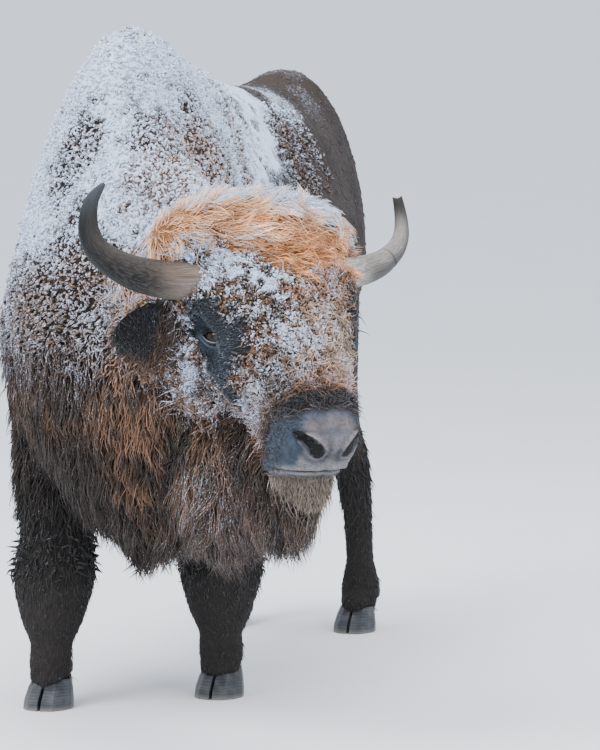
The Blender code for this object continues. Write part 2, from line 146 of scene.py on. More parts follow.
def unit(v):
    """Vectors of length one."""
    return v / np.maximum(np.linalg.norm(v, axis=-1, keepdims=True), 1e-9)


def bell(x, centre, width):
    """1 at a centre, falling off evenly to both sides."""
    return np.exp(-(((x - centre) / width) ** 2))


def turns_of(sides):
    """Angles evenly spaced round a circle."""
    return 2 * math.pi * np.arange(sides) / sides


def blob(points, centre, radii, soft):
    """1 inside an ellipsoid and 0 outside it, eased across its surface."""
    reach = np.linalg.norm((points - np.array(centre)) / np.array(radii), axis=1)
    return 1.0 - ramp(reach, 1.0 - soft, 1.0 + soft)


def lock_of(points, start, end, radius):
    """1 along a line from start to end and 0 further off than a radius and a half, eased between."""
    start, end = np.array(start), np.array(end)
    along = np.clip((points - start) @ (end - start) / (end - start).dot(end - start), 0, 1)
    reach = np.linalg.norm(points - start - along[:, None] * (end - start), axis=1) / radius
    return 1.0 - ramp(reach, 0.5, 1.5)


def chance(cell, seed):
    """A number from 0 to 1 for each whole-numbered cell."""
    n = (cell @ np.array(HASH_STEPS) + seed * HASH_MIX) & WORD
    n = ((n ^ (n >> 13)) * HASH_MIX) & WORD
    n = ((n ^ (n >> 16)) * HASH_STEPS[1]) & WORD
    return (n & LOW_BITS) / LOW_BITS


def mottle(points, size, seed):
    """Smooth noise from 0 to 1 with spots of the given size."""
    p = np.asarray(points) / size
    cell = np.floor(p).astype(np.int64)
    t = p - cell
    t = t * t * (3.0 - 2.0 * t)
    total = np.zeros(len(p))
    for corner in np.ndindex(2, 2, 2):
        total += np.prod(np.where(corner, t, 1 - t), axis=1) * chance(cell + corner, seed)
    return total


def eased(rows, count):
    """Rows of numbers drawn out to count rows along a Catmull-Rom curve."""
    rows = np.array(rows, float)
    out = []
    for k in range(count):
        s = k / (count - 1) * (len(rows) - 1)
        i = min(int(s), len(rows) - 2)
        t = s - i
        a, b, c, d = (rows[min(max(i + j, 0), len(rows) - 1)] for j in (-1, 0, 1, 2))
        out.append(
            0.5 * (2 * b + (c - a) * t + (2 * a - 5 * b + 4 * c - d) * t**2 + (3 * b - a - 3 * c + d) * t**3)
        )
    return np.array(out)


# ---- regions of the coat
POLL_EDGE = (  # how far down the brow the crown's locks reach: sideways, and up the face
    (-0.20, -0.146, -0.017, 0.031, 0.10, 0.24),
    (0.040, 0.036, -0.062, -0.095, -0.055, -0.02),
)


class Regions:
    """Smooth shares, from 0 to 1, of every kind of coat at a set of points."""

    def __init__(self, points):
        self.points, self.home, self.local = points, points - HOME, to_head(points)
        self.x, self.y, self.z = x, y, z = self.home.T
        self.u, self.v, self.w = u, v, w = self.local.T
        self.side = side = np.abs(u)
        self.mirrored = mirrored = np.stack((side, v, w), 1)
        self.head = ramp(0.19 - v, 0.0, 0.05) * ramp(w, -0.31, -0.25) * ramp(0.31 - side, 0, 0.04)
        self.head *= ramp(-0.02 - y, 0, 0.05)
        ear_root = np.array((0.205, -0.017, -0.11))
        ear_tip = np.array((0.318, 0.008, -0.230))
        along = (ear_tip - ear_root) / np.linalg.norm(ear_tip - ear_root)
        rest = mirrored - ear_root
        on = rest @ along
        off = np.linalg.norm(rest - np.outer(on, along), axis=1)
        self.ear = ramp(on, 0.015, 0.035) * (1 - ramp(off, 0.060, 0.072)) * (1 - ramp(on, 0.18, 0.20))
        self.ear *= ramp(side, 0.222, 0.236)
        self.by_ear = blob(mirrored, (0.252, -0.030, -0.160), (0.062, 0.095, 0.105), 0.3) * (1 - self.ear)
        fur_line = 0.402 + 0.034 * ramp(w, -0.04, 0.02) + 0.016 * (mottle(points, 0.02, 9) - 0.5)
        self.muzzle = ramp(-v - fur_line, -0.020, 0.012) * ramp(w, -0.215, -0.19)
        self.muzzle *= 1 - ramp(side, 0.13, 0.15)
        below_mouth = ramp(-0.112 - 1.15 * (0.511 + v) - w, -0.012, 0.012)
        self.chin = self.muzzle * below_mouth * ramp(-v, 0.40, 0.43)
        self.fuzz = self.muzzle * ramp(v + 0.482, 0, 0.045) * ramp(side, 0.045, 0.075)
        self.beard = ramp(-w, 0.175, 0.235) * ramp(-v, 0.20, 0.27) * ramp(0.19 - side, 0, 0.04)
        ragged = 0.42 * (mottle(points, 0.022, 8) - 0.5) + 0.20 * (mottle(points, 0.009, 16) - 0.5)
        reach = (np.abs((v + 0.158) / 0.090) ** 2.6 + np.abs((w + 0.037) / 0.082) ** 2.6) ** (1 / 2.6)
        self.patch = 1 - ramp(reach + ragged, 0.86, 1.12)
        drip = lock_of(mirrored, (0.160, -0.200, -0.080), (0.150, -0.262, -0.112), 0.030)
        self.patch = np.maximum(self.patch, drip)
        self.patch *= ramp(side, np.where(u > 0, 0.135, 0.105), np.where(u > 0, 0.150, 0.125)) * self.head
        edge = np.interp(u, POLL_EDGE[0], POLL_EDGE[1])
        wobble = (mottle(points, 0.045, 5) - 0.5) * 0.05
        hang = 0.08 * ramp(-u, 0.10, 0.18) + 0.06 * ramp(-u, 0.19, 0.24)
        self.poll = ramp(v + wobble - edge, -0.012, 0.03) * ramp(w + hang, -0.10, -0.02)
        self.poll *= ramp(0.25 - v + wobble, 0, 0.07)
        self.poll *= ramp(0.30 - side, 0, 0.03) * ramp(-0.02 - y, 0, 0.05)
        self.poll *= 1 - self.ear
        self.poll *= 1 - self.by_ear
        self.face = self.head - self.muzzle - self.patch - self.poll - self.ear - self.beard - self.by_ear
        self.face = np.clip(self.face, 0, 1)
        self.by_eye = blob(mirrored, (0.150, -0.130, -0.060), (0.070, 0.062, 0.050), 0.25)
        self.verge = self.patch * ramp(reach + ragged, 0.62, 0.90) * (1 - self.by_eye)
        self.round_patch = self.face * (1 - ramp(reach + ragged, 1.15, 1.65)) * ramp(side, 0.04, 0.09)
        self.horn_root = blob(mirrored, (0.195, -0.005, 0.0), (0.075, 0.085, 0.085), 0.4)
        self.tail = ramp(y, 1.545, 1.575) * ramp(0.10 - np.abs(x - 0.005), 0, 0.03)
        gaps = [points - FEET[foot] for foot in ("fore_left", "fore_right")]
        self.fore = ramp(0.23 - np.minimum(*(np.hypot(gap[:, 0], gap[:, 1]) for gap in gaps)), 0, 0.05)
        self.hind = ramp(y, 0.95, 1.05)
        self.low_leg = np.where(y > 0.7, ramp(0.56 - z, 0, 0.12), ramp(0.47 - z, 0, 0.17) * self.fore)
        not_head = (1 - self.head) * (1 - self.poll) * (1 - self.tail)
        self.long = not_head * ramp(1.02 - z, 0, 0.16) * ramp(0.12 - y, 0, 0.16) * (1 - self.low_leg)
        self.long = np.maximum(self.long, self.beard * (1 - self.muzzle * (1 - self.chin)))
        self.long = self.long * (1 - self.by_ear) * (1 - self.ear)
        rest = not_head * (1 - self.long) * (1 - self.low_leg) * (1 - self.by_ear) * (1 - self.ear)
        wobble = 0.24 * (mottle(points, 0.12, 6) - 0.5) + 0.14 * (mottle(points, 0.04, 7) - 0.5)
        hump_end = 0.27 + 0.08 * ramp(1.3 - z, 0, 0.3) + wobble
        self.wool = rest * (1 - ramp(y, hump_end, hump_end + 0.22))
        to_side = np.stack((np.abs(x), y + wobble, z), 1)
        flank_tuft = blob(to_side, (0.20, 0.73, 1.37), (0.10, 0.13, 0.13), 0.45)
        self.wool = np.maximum(self.wool, rest * flank_tuft)
        self.short = rest - self.wool
        self.belly = self.short * ramp(0.86 - z, 0, 0.12) * ramp(1.0 - y, 0, 0.15)
        self.short = self.short - self.belly * 0.7


def coat_depth(r):
    """How far the skin lies under the tips of the coat."""
    depth = 0.004 + 0.006 * r.short + 0.014 * r.belly + 0.020 * r.wool + 0.030 * r.long
    depth += 0.013 * r.face + 0.022 * r.poll + 0.010 * r.tail * ramp(1.0 - r.z, 0, 0.2)
    depth = depth * (1 - 0.85 * np.clip(r.patch + r.muzzle - r.chin, 0, 1))
    depth = depth * (1 - 0.5 * r.by_ear) * (1 - 0.6 * r.horn_root)
    return np.where(r.ear > 0.3, 0.003, depth)


DARK_BROWN = np.array((0.026, 0.0185, 0.0140))
WALNUT = np.array((0.095, 0.060, 0.040))
RUST = np.array((0.230, 0.102, 0.050))
GOLD = np.array((0.80, 0.35, 0.120))
RUSSET = np.array((0.355, 0.180, 0.098))
AMBER = np.array((0.52, 0.195, 0.055))
STRAW = np.array((1.00, 0.78, 0.58))
TAUPE = np.array((0.060, 0.049, 0.045))
LEG_BLACK = np.array((0.0165, 0.0145, 0.0135))
SLATE = np.array((0.029, 0.039, 0.052))
EAR_BLACK = np.array((0.014, 0.014, 0.016))
CHIN_TAN = np.array((0.27, 0.215, 0.165))
NOSE_GREY = np.array((0.165, 0.160, 0.173))


def mix(a, b, share):
    """Blend of colours a and b."""
    share = np.asarray(share)[..., None]
    return a * (1 - share) + b * share


BARED = (  # where the wind has kept the wool open: how much, middle, radii, softness
    (1.0, (-0.04, -0.33, 1.42), (0.10, 0.10, 0.16), 0.5),
    (0.6, (-0.12, -0.47, 1.08), (0.16, 0.13, 0.16), 0.5),
    (0.3, (0.17, 0.05, 1.44), (0.12, 0.16, 0.12), 0.6),
    (1.0, (0.055, -0.53, 1.155), (0.13, 0.12, 0.085), 0.5),
    (0.7, (-0.05, -0.42, 1.27), (0.09, 0.10, 0.10), 0.5),
)
BROW_STREAKS = ((0.30, 0.020, 14), (0.35, 0.011, 17), (0.30, 0.024, 19))  # squeeze, size, seed


def coat_colours(r):
    """Colour at the root and at the tip of the coat, and how much snow it holds; the roots' darkness is
    partly painted shade.
    """
    broad, fine = mottle(r.points, 0.11, 1), mottle(r.points, 0.035, 2)
    patchy = 0.5 * broad + 0.5 * fine
    reach = -r.v
    coat = {"tip": WALNUT, "deep": DARK_BROWN}

    def lay(share, tip=None, deep=None):
        """Lays a colour over the tips of the coat, and one over its roots."""
        for part, colour in (("tip", tip), ("deep", deep)):
            if colour is not None:
                coat[part] = mix(coat[part], colour, share)

    # Wool of the hump and shoulders, warmer on the side away from the wind.
    lee = ramp(r.x, 0.05, 0.20) * ramp(r.z, 1.05, 1.25) * ramp(0.30 - r.y, 0, 0.1)
    lay(r.wool * np.clip(0.12 + 0.38 * ramp(broad, 0.4, 0.7) + 0.17 * lee, 0, 1), RUST * 0.85)
    # Warm locks beside the cheek and behind the poll.
    lee_poll = blob(r.home, (0.22, -0.12, 1.36), (0.18, 0.24, 0.15), 0.6)
    behind_poll = np.maximum(lee_poll, blob(r.home, (0.22, -0.44, 1.35), (0.14, 0.17, 0.12), 0.5))
    hump_rim = lock_of(r.home, (0.10, 0.35, 1.53), (0.235, 0.25, 1.30), 0.055)
    warm = np.maximum.reduce((
        lock_of(r.mirrored, (0.265, -0.01, -0.25), (0.245, -0.11, -0.48), 0.100),
        lock_of(r.mirrored, (0.240, -0.12, -0.48), (0.195, -0.26, -0.66), 0.070),
        0.8 * lock_of(r.mirrored, (0.13, -0.40, -0.34), (0.13, -0.50, -0.52), 0.035),
        0.90 * behind_poll,
        0.65 * hump_rim,
    ))
    strands = mottle(np.stack((r.x, r.y, r.z * 0.22), 1), 0.016, 15)
    warm = warm * ramp(0.6 * patchy + 0.4 * strands, 0.28, 0.52) * (1 - r.muzzle)
    lay(warm, mix(RUSSET, GOLD * 0.68, 0.7 * np.maximum(behind_poll, hump_rim)))
    lay(warm * 0.8, deep=WALNUT * 0.7)
    # The shoulder's wool is ochre below the snow.
    shoulder = r.wool * ramp(1.28 - r.z, 0, 0.20) * ramp(-0.22 - r.y, 0, 0.15)
    lay(0.75 * shoulder, mix(WALNUT * 1.5, GOLD * 0.34, fine))
    # The long coat darkens downwards.
    low = r.long * ramp(1.02 - r.z, 0, 0.28)
    lay(low * (1 - 0.9 * warm), DARK_BROWN * (0.9 + 1.7 * strands[:, None]))
    lay(r.long * (1 - warm), deep=DARK_BROWN * 0.6)
    ochre = low * ramp(r.z, 0.70, 0.84) * ramp(0.6 * strands + 0.4 * fine, 0.40, 0.66) * (1 - r.beard)
    lay(0.75 * ochre * (1 - 0.8 * warm), mix(WALNUT * 2.1, GOLD * 0.30, broad))
    throat = blob(r.mirrored, (0.15, -0.32, -0.32), (0.10, 0.13, 0.11), 0.5)
    lay(throat * ramp(strands, 0.25, 0.6) * (1 - r.face), mix(WALNUT * 2.0, RUST * 1.5, fine))
    lay(r.beard * ramp(fine, 0.42, 0.70) * 0.75, WALNUT * 1.8)
    # Face: the left half of the forehead is warmer and holds less snow.
    left = ramp(r.u + 0.10 * (patchy - 0.5) - 0.22 * (r.v + 0.07), -0.05, 0.06)
    lay(r.face, mix(mix(WALNUT, GOLD * 0.24, ramp(fine, 0.35, 0.65)), RUST * 1.45, left))
    lay(r.face * (0.10 + 0.6 * left), deep=WALNUT * 0.55)
    lay(r.round_patch, mix(WALNUT * 1.1, GOLD * 0.26, ramp(patchy, 0.35, 0.6)))
    frizz = left * ramp(reach, 0.12, 0.20) * (1 - ramp(reach, 0.30, 0.36)) * r.face
    lay(0.45 * frizz, STRAW * 0.62)
    cheek = blob(r.mirrored, (0.145, -0.230, -0.130), (0.070, 0.050, 0.060), 0.5)
    lay(0.5 * cheek * r.face, DARK_BROWN * 2.0)
    lay(r.face * ramp(reach + 0.02 * (fine - 0.5), 0.365, 0.395), SLATE * 0.60)
    lay(r.face * ramp(reach, 0.345, 0.385) * 0.95, deep=DARK_BROWN * 0.8)
    # The crown runs from gold over the brow to straw behind, in locks with painted shade in the hollows
    # between them.
    streak, lock, crest = (
        mottle(np.stack((r.u * squeeze, r.v, r.w), 1), size, seed) for squeeze, size, seed in BROW_STREAKS
    )
    crest = ramp(crest, 0.28, 0.60)
    backward = r.v + 0.14 * (streak - 0.5)
    windward = ramp(-r.u, 0.06, 0.16)
    pale = ramp(backward, 0.012, 0.102) * (1 - 0.35 * windward)
    lay(r.poll, mix(GOLD, STRAW, 0.10) * (0.80 + 1.25 * lock[:, None]), mix(RUST, GOLD * 0.85, pale))
    lay(r.poll * pale * 0.88, STRAW * (1.02 + 1.16 * lock[:, None]))
    # Painted shade: darker amber tips and rust roots in the hollows between the locks.
    lay(0.62 * r.poll * (1 - crest), mix(AMBER, GOLD * 0.85, pale), RUST * 0.75)
    # The smooth hindquarters.
    lay(r.short, TAUPE * (0.46 + 0.46 * broad + 0.16 * fine)[:, None], TAUPE * 0.48)
    lay(0.65 * r.short, deep=coat["tip"])
    lay(r.short * ramp(r.z, 1.38, 1.50) * ramp(r.y, 0.9, 1.1) * 0.85, DARK_BROWN * 1.6)
    lay(r.belly, WALNUT * 0.8)
    legs = np.maximum(r.low_leg, ramp(0.72 - r.z, 0, 0.3) * np.maximum(r.fore, r.hind))
    lay(legs, LEG_BLACK * 1.5, LEG_BLACK)
    # Slate skin round the eye and on the muzzle, tan chin, dark ears and tail.
    slate = mix(SLATE, SLATE * (1.12, 1.08, 1.08), r.muzzle) * (1 - 0.15 * r.patch)[:, None]
    bare = np.clip(r.patch + r.muzzle, 0, 1)
    lay(bare, slate * (0.75 + 0.9 * fine[:, None]), slate * (0.50 + 0.5 * fine[:, None]))
    brow = r.patch * ramp(r.w + 0.05 * (fine - 0.5), -0.06, 0.03)
    lay(brow * 0.40, DARK_BROWN * 1.2, DARK_BROWN * 0.8)
    lay(r.chin, CHIN_TAN * (0.7 + 0.6 * fine[:, None]), CHIN_TAN * 0.4)
    lay(r.by_ear, WALNUT * 0.7)
    lay(r.ear, EAR_BLACK * 1.4, EAR_BLACK)
    lay(r.tail, DARK_BROWN * 1.8)
    # Snow, thick on the hump and thin wherever the wind has kept the wool open.
    snow = r.wool * (0.43 + 0.66 * ramp(r.z, 0.92, 1.28)) * (1 - 0.06 * lee)
    bared = np.maximum.reduce([share * blob(r.home, *place) for share, *place in BARED])
    snow = snow * (1 - 0.52 * bared * (0.5 + 0.5 * ramp(patchy, 0.35, 0.60)))
    snow = snow + r.long * (0.40 * ramp(r.z, 0.74, 1.0) + 0.14 * throat + 0.10 * r.beard)
    for thinner in (
        0.14 * behind_poll,
        0.13 * lee_poll,
        0.42 * hump_rim * ramp(patchy, 0.30, 0.60),
        0.80 * (ramp(r.y + 0.25 * (patchy - 0.5), -0.12, 0.28) * ramp(1.34 - r.z, 0, 0.22)),
        0.20 * shoulder,
        0.75 * (r.wool * ramp(r.y, 0.52, 0.60)),
    ):
        snow = snow * (1 - thinner)
    saddle = ramp(0.72 - r.y, 0, 0.14) * ramp(r.z, 1.20, 1.34)
    rime = (0.30 + 0.25 * ramp(1.05 - r.y, 0, 0.2)) * ramp(r.z, 1.32, 1.48)
    rime = rime * (0.5 + 0.5 * ramp(broad, 0.40, 0.6))
    snow = snow + r.short * ((0.66 + 0.34 * fine) * saddle + rime * (1 - saddle))
    on_face = 0.50 - 0.20 * left * (1 - 0.6 * ramp(reach, 0.14, 0.24))
    for thinner in (
        0.10 * ramp(reach, 0.22, 0.34),
        -0.22 * ramp(r.v, -0.13, -0.07) * (1 - left),
        0.42 * r.round_patch * ramp(r.w, -0.14, -0.08),
        ramp(reach, 0.35, 0.40),
        0.5 * ramp(reach, 0.20, 0.26) * ramp(-r.w, 0.15, 0.22),
        0.55 * ramp(-r.w, 0.20, 0.27),
        0.35 * cheek,
    ):
        on_face = on_face * (1 - thinner)
    on_face = on_face + 0.16 * blob(r.mirrored, (0.195, -0.145, -0.205), (0.050, 0.060, 0.060), 0.5)
    knobs = mottle(r.points, 0.017, 18)
    snow = snow + r.face * on_face * (0.50 + 0.95 * ramp(knobs, 0.25, 0.62))
    on_poll = r.poll * (0.11 + 0.80 * ramp(backward, 0.045, 0.135))
    snow = snow + on_poll * (0.35 + 0.80 * crest) * (1 - 0.30 * windward)
    snow = snow + 0.14 * r.patch * (0.3 + fine) * (1 - r.by_eye)
    snow = snow * (1 - legs) * (1 - warm * 0.35)
    snow = snow * (0.74 + 0.46 * ramp(patchy, 0.32, 0.62))
    return coat["deep"], coat["tip"], np.clip(snow, 0, 1)


def lie_of_coat(r):
    """The way the hair points along the skin."""
    down = np.array((0.0, 0.0, -1.0))
    hanging = np.clip(r.long + r.low_leg + 0.5 * r.wool * ramp(1.3 - r.z, 0, 0.3), 0, 1)
    lie = mix(np.array((0.0, 0.80, -0.60)), down, hanging)
    outward = in_head(np.sign(r.u) * 0.75, 0.30, -0.60)
    to_nose = np.array((0.0, -1.0, -0.1)) @ HEAD_AXES.T
    lie = mix(lie, outward, np.clip(r.face + r.patch, 0, 1))
    lie = mix(lie, -to_nose * 0.4 + outward, r.muzzle)
    lie = mix(lie, to_nose * 0.3 + down, r.chin)
    lie = mix(lie, in_head(0.95 + 0 * r.u, -0.35, -0.10), r.poll)
    lie = mix(lie, down, r.tail)
    lie = lie - r.normal * np.sum(lie * r.normal, 1, keepdims=True)
    return unit(lie + 1e-6)


# ---- meshes
def put(name, data):
    """A new object in the scene."""
    obj = bpy.data.objects.new(name, data)
    bpy.context.scene.collection.objects.link(obj)
    return obj


def object_from(name, vertices, faces, material=None):
    """A smooth-shaded object from vertices and faces."""
    mesh = bpy.data.meshes.new(name)
    mesh.from_pydata([tuple(v) for v in vertices], [], [tuple(int(i) for i in f) for f in faces])
    mesh.update()
    obj = put(name, mesh)
    mesh.shade_smooth()
    if material:
        mesh.materials.append(material)
    return obj


def closed_piece(name, points, faces):
    """A closed object whose faces all look outward."""
    obj = object_from(name, points, faces)
    bm = bmesh.new()
    bm.from_mesh(obj.data)
    bmesh.ops.recalc_face_normals(bm, faces=bm.faces)
    bm.to_mesh(obj.data)
    bm.free()
    return obj


def loft(rings):
    """Vertices and outward faces of a tube through rings of points, with both ends closed."""
    rings = np.asarray(rings, float)
    count, sides = rings.shape[:2]
    vertices = np.vstack((rings.reshape(-1, 3), rings[0].mean(0), rings[-1].mean(0)))
    low, high, last = count * sides, count * sides + 1, (count - 1) * sides
    faces = []
    for at in range(0, last, sides):
        for j in range(sides):
            k = (j + 1) % sides
            faces.append((at + j, at + k, at + sides + k, at + sides + j))
    for j in range(sides):
        k = (j + 1) % sides
        faces += [(low, k, j), (high, last + j, last + k)]
    return vertices, faces


def egg(centre, radii, sides=24, rows=14):
    """An ellipsoid as vertices and faces."""
    rings = []
    for i in range(rows):
        tilt = math.pi * (i + 0.5) / rows
        turns = (2 * math.pi * j / sides for j in range(sides))
        across, up = math.sin(tilt), -math.cos(tilt)
        rings.append([(across * math.cos(turn), across * math.sin(turn), up) for turn in turns])
    return loft(np.array(rings) * np.array(radii) + np.array(centre))


def read(rows, field, width, kind=float):
    """A property of many things, as an array with the given number of columns."""
    out = np.empty(len(rows) * width, kind)
    rows.foreach_get(field, out)
    return out.reshape(-1, width)


def coordinates(mesh):
    """A mesh's vertices as an array."""
    return read(mesh.vertices, "co", 3)


def set_coordinates(mesh, points):
    """Moves a mesh's vertices."""
    mesh.vertices.foreach_set("co", np.asarray(points, np.float32).ravel())
    mesh.update()


def vertex_normals(mesh):
    """A mesh's vertex normals as an array."""
    return read(mesh.vertex_normals, "vector", 3, np.float32).astype(float)


def edge_ends(mesh):
    """The two vertices of every edge."""
    return read(mesh.edges, "vertices", 2, np.int32)


def relax(points, edges, passes, back=-0.52, weight=1.0):
    """Evens a mesh out along its edges. With a step back after each step it keeps its volume."""
    n = len(points)
    a, b = edges[:, 0], edges[:, 1]
    degree = np.maximum(np.bincount(a, minlength=n) + np.bincount(b, minlength=n), 1)[:, None]
    weight = np.broadcast_to(weight, n)[:, None]
    for step in (0.5, back) * passes:
        if step:
            total = np.empty_like(points)
            for k in range(3):
                total[:, k] = np.bincount(a, points[b, k], n) + np.bincount(b, points[a, k], n)
            points = points + step * (total / degree - points) * weight
    return points


def apply(obj):
    """Applies an object's modifiers."""
    graph = bpy.context.evaluated_depsgraph_get()
    mesh = bpy.data.meshes.new_from_object(obj.evaluated_get(graph))
    obj.modifiers.clear()
    old = obj.data
    obj.data = mesh
    bpy.data.meshes.remove(old)


def cut_or_join(obj, tool, operation):
    """Joins a closed piece to the skin, or cuts it away."""
    step = obj.modifiers.new("step", "BOOLEAN")
    step.operation = operation
    step.solver = "MANIFOLD"
    step.object = tool
    apply(obj)
    bpy.data.objects.remove(tool)


def drop_scraps(obj):
    """Keeps only the largest connected piece of a mesh."""
    bm = bmesh.new()
    bm.from_mesh(obj.data)
    left, shells = set(bm.verts), []
    while left:
        shell, edge = set(), [left.pop()]
        while edge:
            vert = edge.pop()
            shell.add(vert)
            for link in vert.link_edges:
                other = link.other_vert(vert)
                if other in left:
                    left.discard(other)
                    edge.append(other)
        shells.append(shell)
    shells.sort(key=len)
    for shell in shells[:-1]:
        bmesh.ops.delete(bm, geom=list(shell), context="VERTS")
    bm.to_mesh(obj.data)
    bm.free()


# ---- skin
def gather_flesh():
    """The flesh solids and fillers for the hollows in them, as one closed skin."""
    shapes = []
    for place in FEET.values():
        shapes.append(egg(place + (0, 0.012, 0.048 - place[2] + 0.03), (0.040, 0.050, 0.034)))
    for side in (-1, 1):
        shapes.append(egg(from_head((side * 0.165, -0.008, 0.004)), (0.060, 0.042, 0.042)))
        shapes.append(egg(from_head((side * EYE.x * 0.93, EYE.y, EYE.z - 0.004)), (0.026, 0.026, 0.026)))
    for name, node in frame["nodes"].items():
        if name.startswith(FLESH) and not name.startswith("ear"):
            points = coordinates(node.data) + vertex_normals(node.data) * FLESH_SWELL
            shapes.append((points, [tuple(p.vertices) for p in node.data.polygons]))
    faces, start = [], 0
    for points, loops in shapes:
        faces.extend(tuple(i + start for i in f) for f in loops)
        start += len(points)
    skin = object_from("skin", np.vstack([points for points, loops in shapes]), faces)
    step = skin.modifiers.new("fuse", "REMESH")
    step.mode = "VOXEL"
    step.voxel_size = VOXEL
    apply(skin)
    return skin


def inset_skin(skin):
    """Smooths the fused body and draws it in by the depth of the coat."""
    mesh = skin.data
    edges = edge_ends(mesh)
    points = relax(coordinates(mesh), edges, SMOOTHING)
    set_coordinates(mesh, points)
    depth = coat_depth(Regions(points))
    depth = relax(depth[:, None].repeat(3, 1), edges, 6, 0.0)[:, 0]
    points = relax(points - vertex_normals(mesh) * depth[:, None], edges, 5)
    set_coordinates(mesh, points)
    mesh.shade_smooth()


MUZZLE_ROWS = [
    # reach to the nose, half width, top, widest, bottom
    (0.325, 0.086, 0.022, -0.055, -0.175),
    (0.345, 0.096, 0.037, -0.052, -0.188),
    (0.366, 0.101, 0.044, -0.051, -0.195),
    (0.392, 0.099, 0.044, -0.052, -0.196),
    (0.420, 0.095, 0.042, -0.054, -0.190),
    (0.450, 0.091, 0.039, -0.055, -0.180),
    (0.475, 0.086, 0.034, -0.056, -0.168),
    (0.493, 0.077, 0.027, -0.056, -0.152),
    (0.506, 0.066, 0.017, -0.056, -0.135),
    (0.5145, 0.053, 0.006, -0.055, -0.118),
    (0.5185, 0.038, -0.008, -0.053, -0.101),
    (0.5200, 0.018, -0.028, -0.052, -0.078),
]
NOSTRIL = [
    # sideways, reach, up, radius: from the wide front end to the thin end at the back
    (0.038, 0.5165, -0.024, 0.0125),
    (0.044, 0.5150, -0.014, 0.0170),
    (0.055, 0.507, -0.006, 0.0160),
    (0.067, 0.493, -0.003, 0.0120),
    (0.077, 0.477, -0.004, 0.0085),
    (0.084, 0.461, -0.009, 0.0055),
]


def above_mouth(reach, up):
    """Height above the line of the mouth, which runs back and down from under the pad."""
    return up - (-0.094 - 1.08 * (0.512 - reach))


def nostril(hand, count):
    """Points along the middle of a nostril, the radius at each, and the way into it."""
    side, reach, up, radius = eased(NOSTRIL, count).T
    return np.stack((hand * side, -reach, up), 1), radius, np.array((-hand * 0.30, 0.93, -0.16))


def muzzle_piece():
    """The muzzle from the bridge of the nose to the chin, with nostrils, lips and nose pad."""
    c, s = np.cos(turns_of(220)), np.sin(turns_of(220))
    rings = []
    for reach, half, top, widest, bottom in eased(MUZZLE_ROWS, 96):
        across = half * np.sign(c) * np.abs(c) ** 0.86
        rise = np.where(s > 0, top - widest, widest - bottom)
        up = widest + rise * np.sign(s) * np.abs(s) ** np.where(s > 0, 0.84, 0.92)
        rings.append(np.stack((across, np.full(len(c), -reach), up), 1))
    p, faces = loft(rings)
    obj = closed_piece("muzzle", from_head(p), faces)
    normals = to_head(vertex_normals(obj.data) + HEAD_ORIGIN)
    edges = edge_ends(obj.data)
    # Relax the rows' creases, but keep the open back where it is.
    p = relax(p, edges, 3, weight=ramp(-p[:, 1], 0.335, 0.36))
    side, reach, up = np.abs(p[:, 0]), -p[:, 1], p[:, 2]
    # Groove of the upper lip, the hollows beside it, and the mouth between its lips.
    front, mouth = ramp(reach, 0.495, 0.512), ramp(reach, 0.405, 0.43)
    lip = above_mouth(reach, up)
    out = np.zeros(len(p))
    out -= 0.0026 * bell(p[:, 0], 0, 0.0030) * front * ramp(-up, 0.004, 0.03)
    out += 0.0025 * bell(side, 0.020, 0.012) * front * ramp(-up, 0.03, 0.06)
    for rise, height, width in ((-0.0085, 0.0, 0.0036), (0.0040, 0.011, 0.008), (0.0030, -0.013, 0.008)):
        out += rise * bell(lip, height, width) * mouth
    # Folds over and beside the nostril.
    for rise, depth in ((0.0, 0.0010), (0.011, 0.0008), (0.021, 0.0006)):
        line = up - 0.028 - rise + 2.2 * (side - 0.045) ** 2 * 8 - (0.5 - reach) * 0.18
        out -= depth * bell(line, 0, 0.0022) * ramp(reach, 0.44, 0.46) * ramp(side, 0.01, 0.03)
    # Bare skin is never quite even, and wrinkled on the cheek.
    world = from_head(p)
    out += 0.0030 * (mottle(world, 0.022, 11) - 0.5) + 0.0013 * (mottle(world, 0.009, 12) - 0.5)
    cheek = ramp(side, 0.055, 0.075) * ramp(reach, 0.395, 0.42)
    cheek *= 1 - ramp(reach, 0.475, 0.495)
    cheek *= ramp(-up, 0.0, 0.03)
    beats = 2 * math.pi * (reach + 0.35 * up) / 0.013 + 7 * mottle(world, 0.03, 13)
    out -= 0.0011 * cheek * np.sin(beats)
    p = p + normals * out[:, None]
    # Nostrils, drawn in as bent commas with a raised wing round them.
    for hand in (-1, 1):
        centres, radii, inward = nostril(hand, 28)
        away = np.linalg.norm(p[:, None] - centres[None], axis=2) / radii[None]
        near, which = away.min(1), away.argmin(1)
        pit = np.sqrt(np.clip(1 - (near / 1.06) ** 2, 0, 1)) * (0.016 + 2.2 * radii[which])
        above = 0.35 + 0.65 * ramp(p[:, 2] - centres[which, 2], -0.008, 0.008)
        wing = 0.0058 * bell(near, 1.40, 0.32) * (radii[which] / 0.0150) ** 0.5 * above
        p = p + unit(inward) * pit[:, None] + normals * wing[:, None]
        p = relax(p, edges, 3, 0.0, np.clip(1.7 - near, 0, 1))
    set_coordinates(obj.data, from_head(p))
    return obj


def chin_piece():
    """The soft chin under the mouth."""
    points, faces = egg((0, 0, 0), (0.058, 0.058, 0.040), sides=40, rows=24)
    tilt = np.array(Matrix.Rotation(math.radians(38), 3, "X"))
    return object_from("chin", from_head(points @ tilt.T + (0, -0.462, -0.158)), faces)


EAR_ROWS = (
    # share of the length, half breadth, hollow, half thickness
    (0.00, 0.024, 0.000, 0.017),
    (0.20, 0.036, 0.007, 0.013),
    (0.45, 0.047, 0.019, 0.006),
    (0.70, 0.042, 0.019, 0.0045),
    (0.88, 0.028, 0.011, 0.004),
    (1.00, 0.008, 0.003, 0.0035),
)


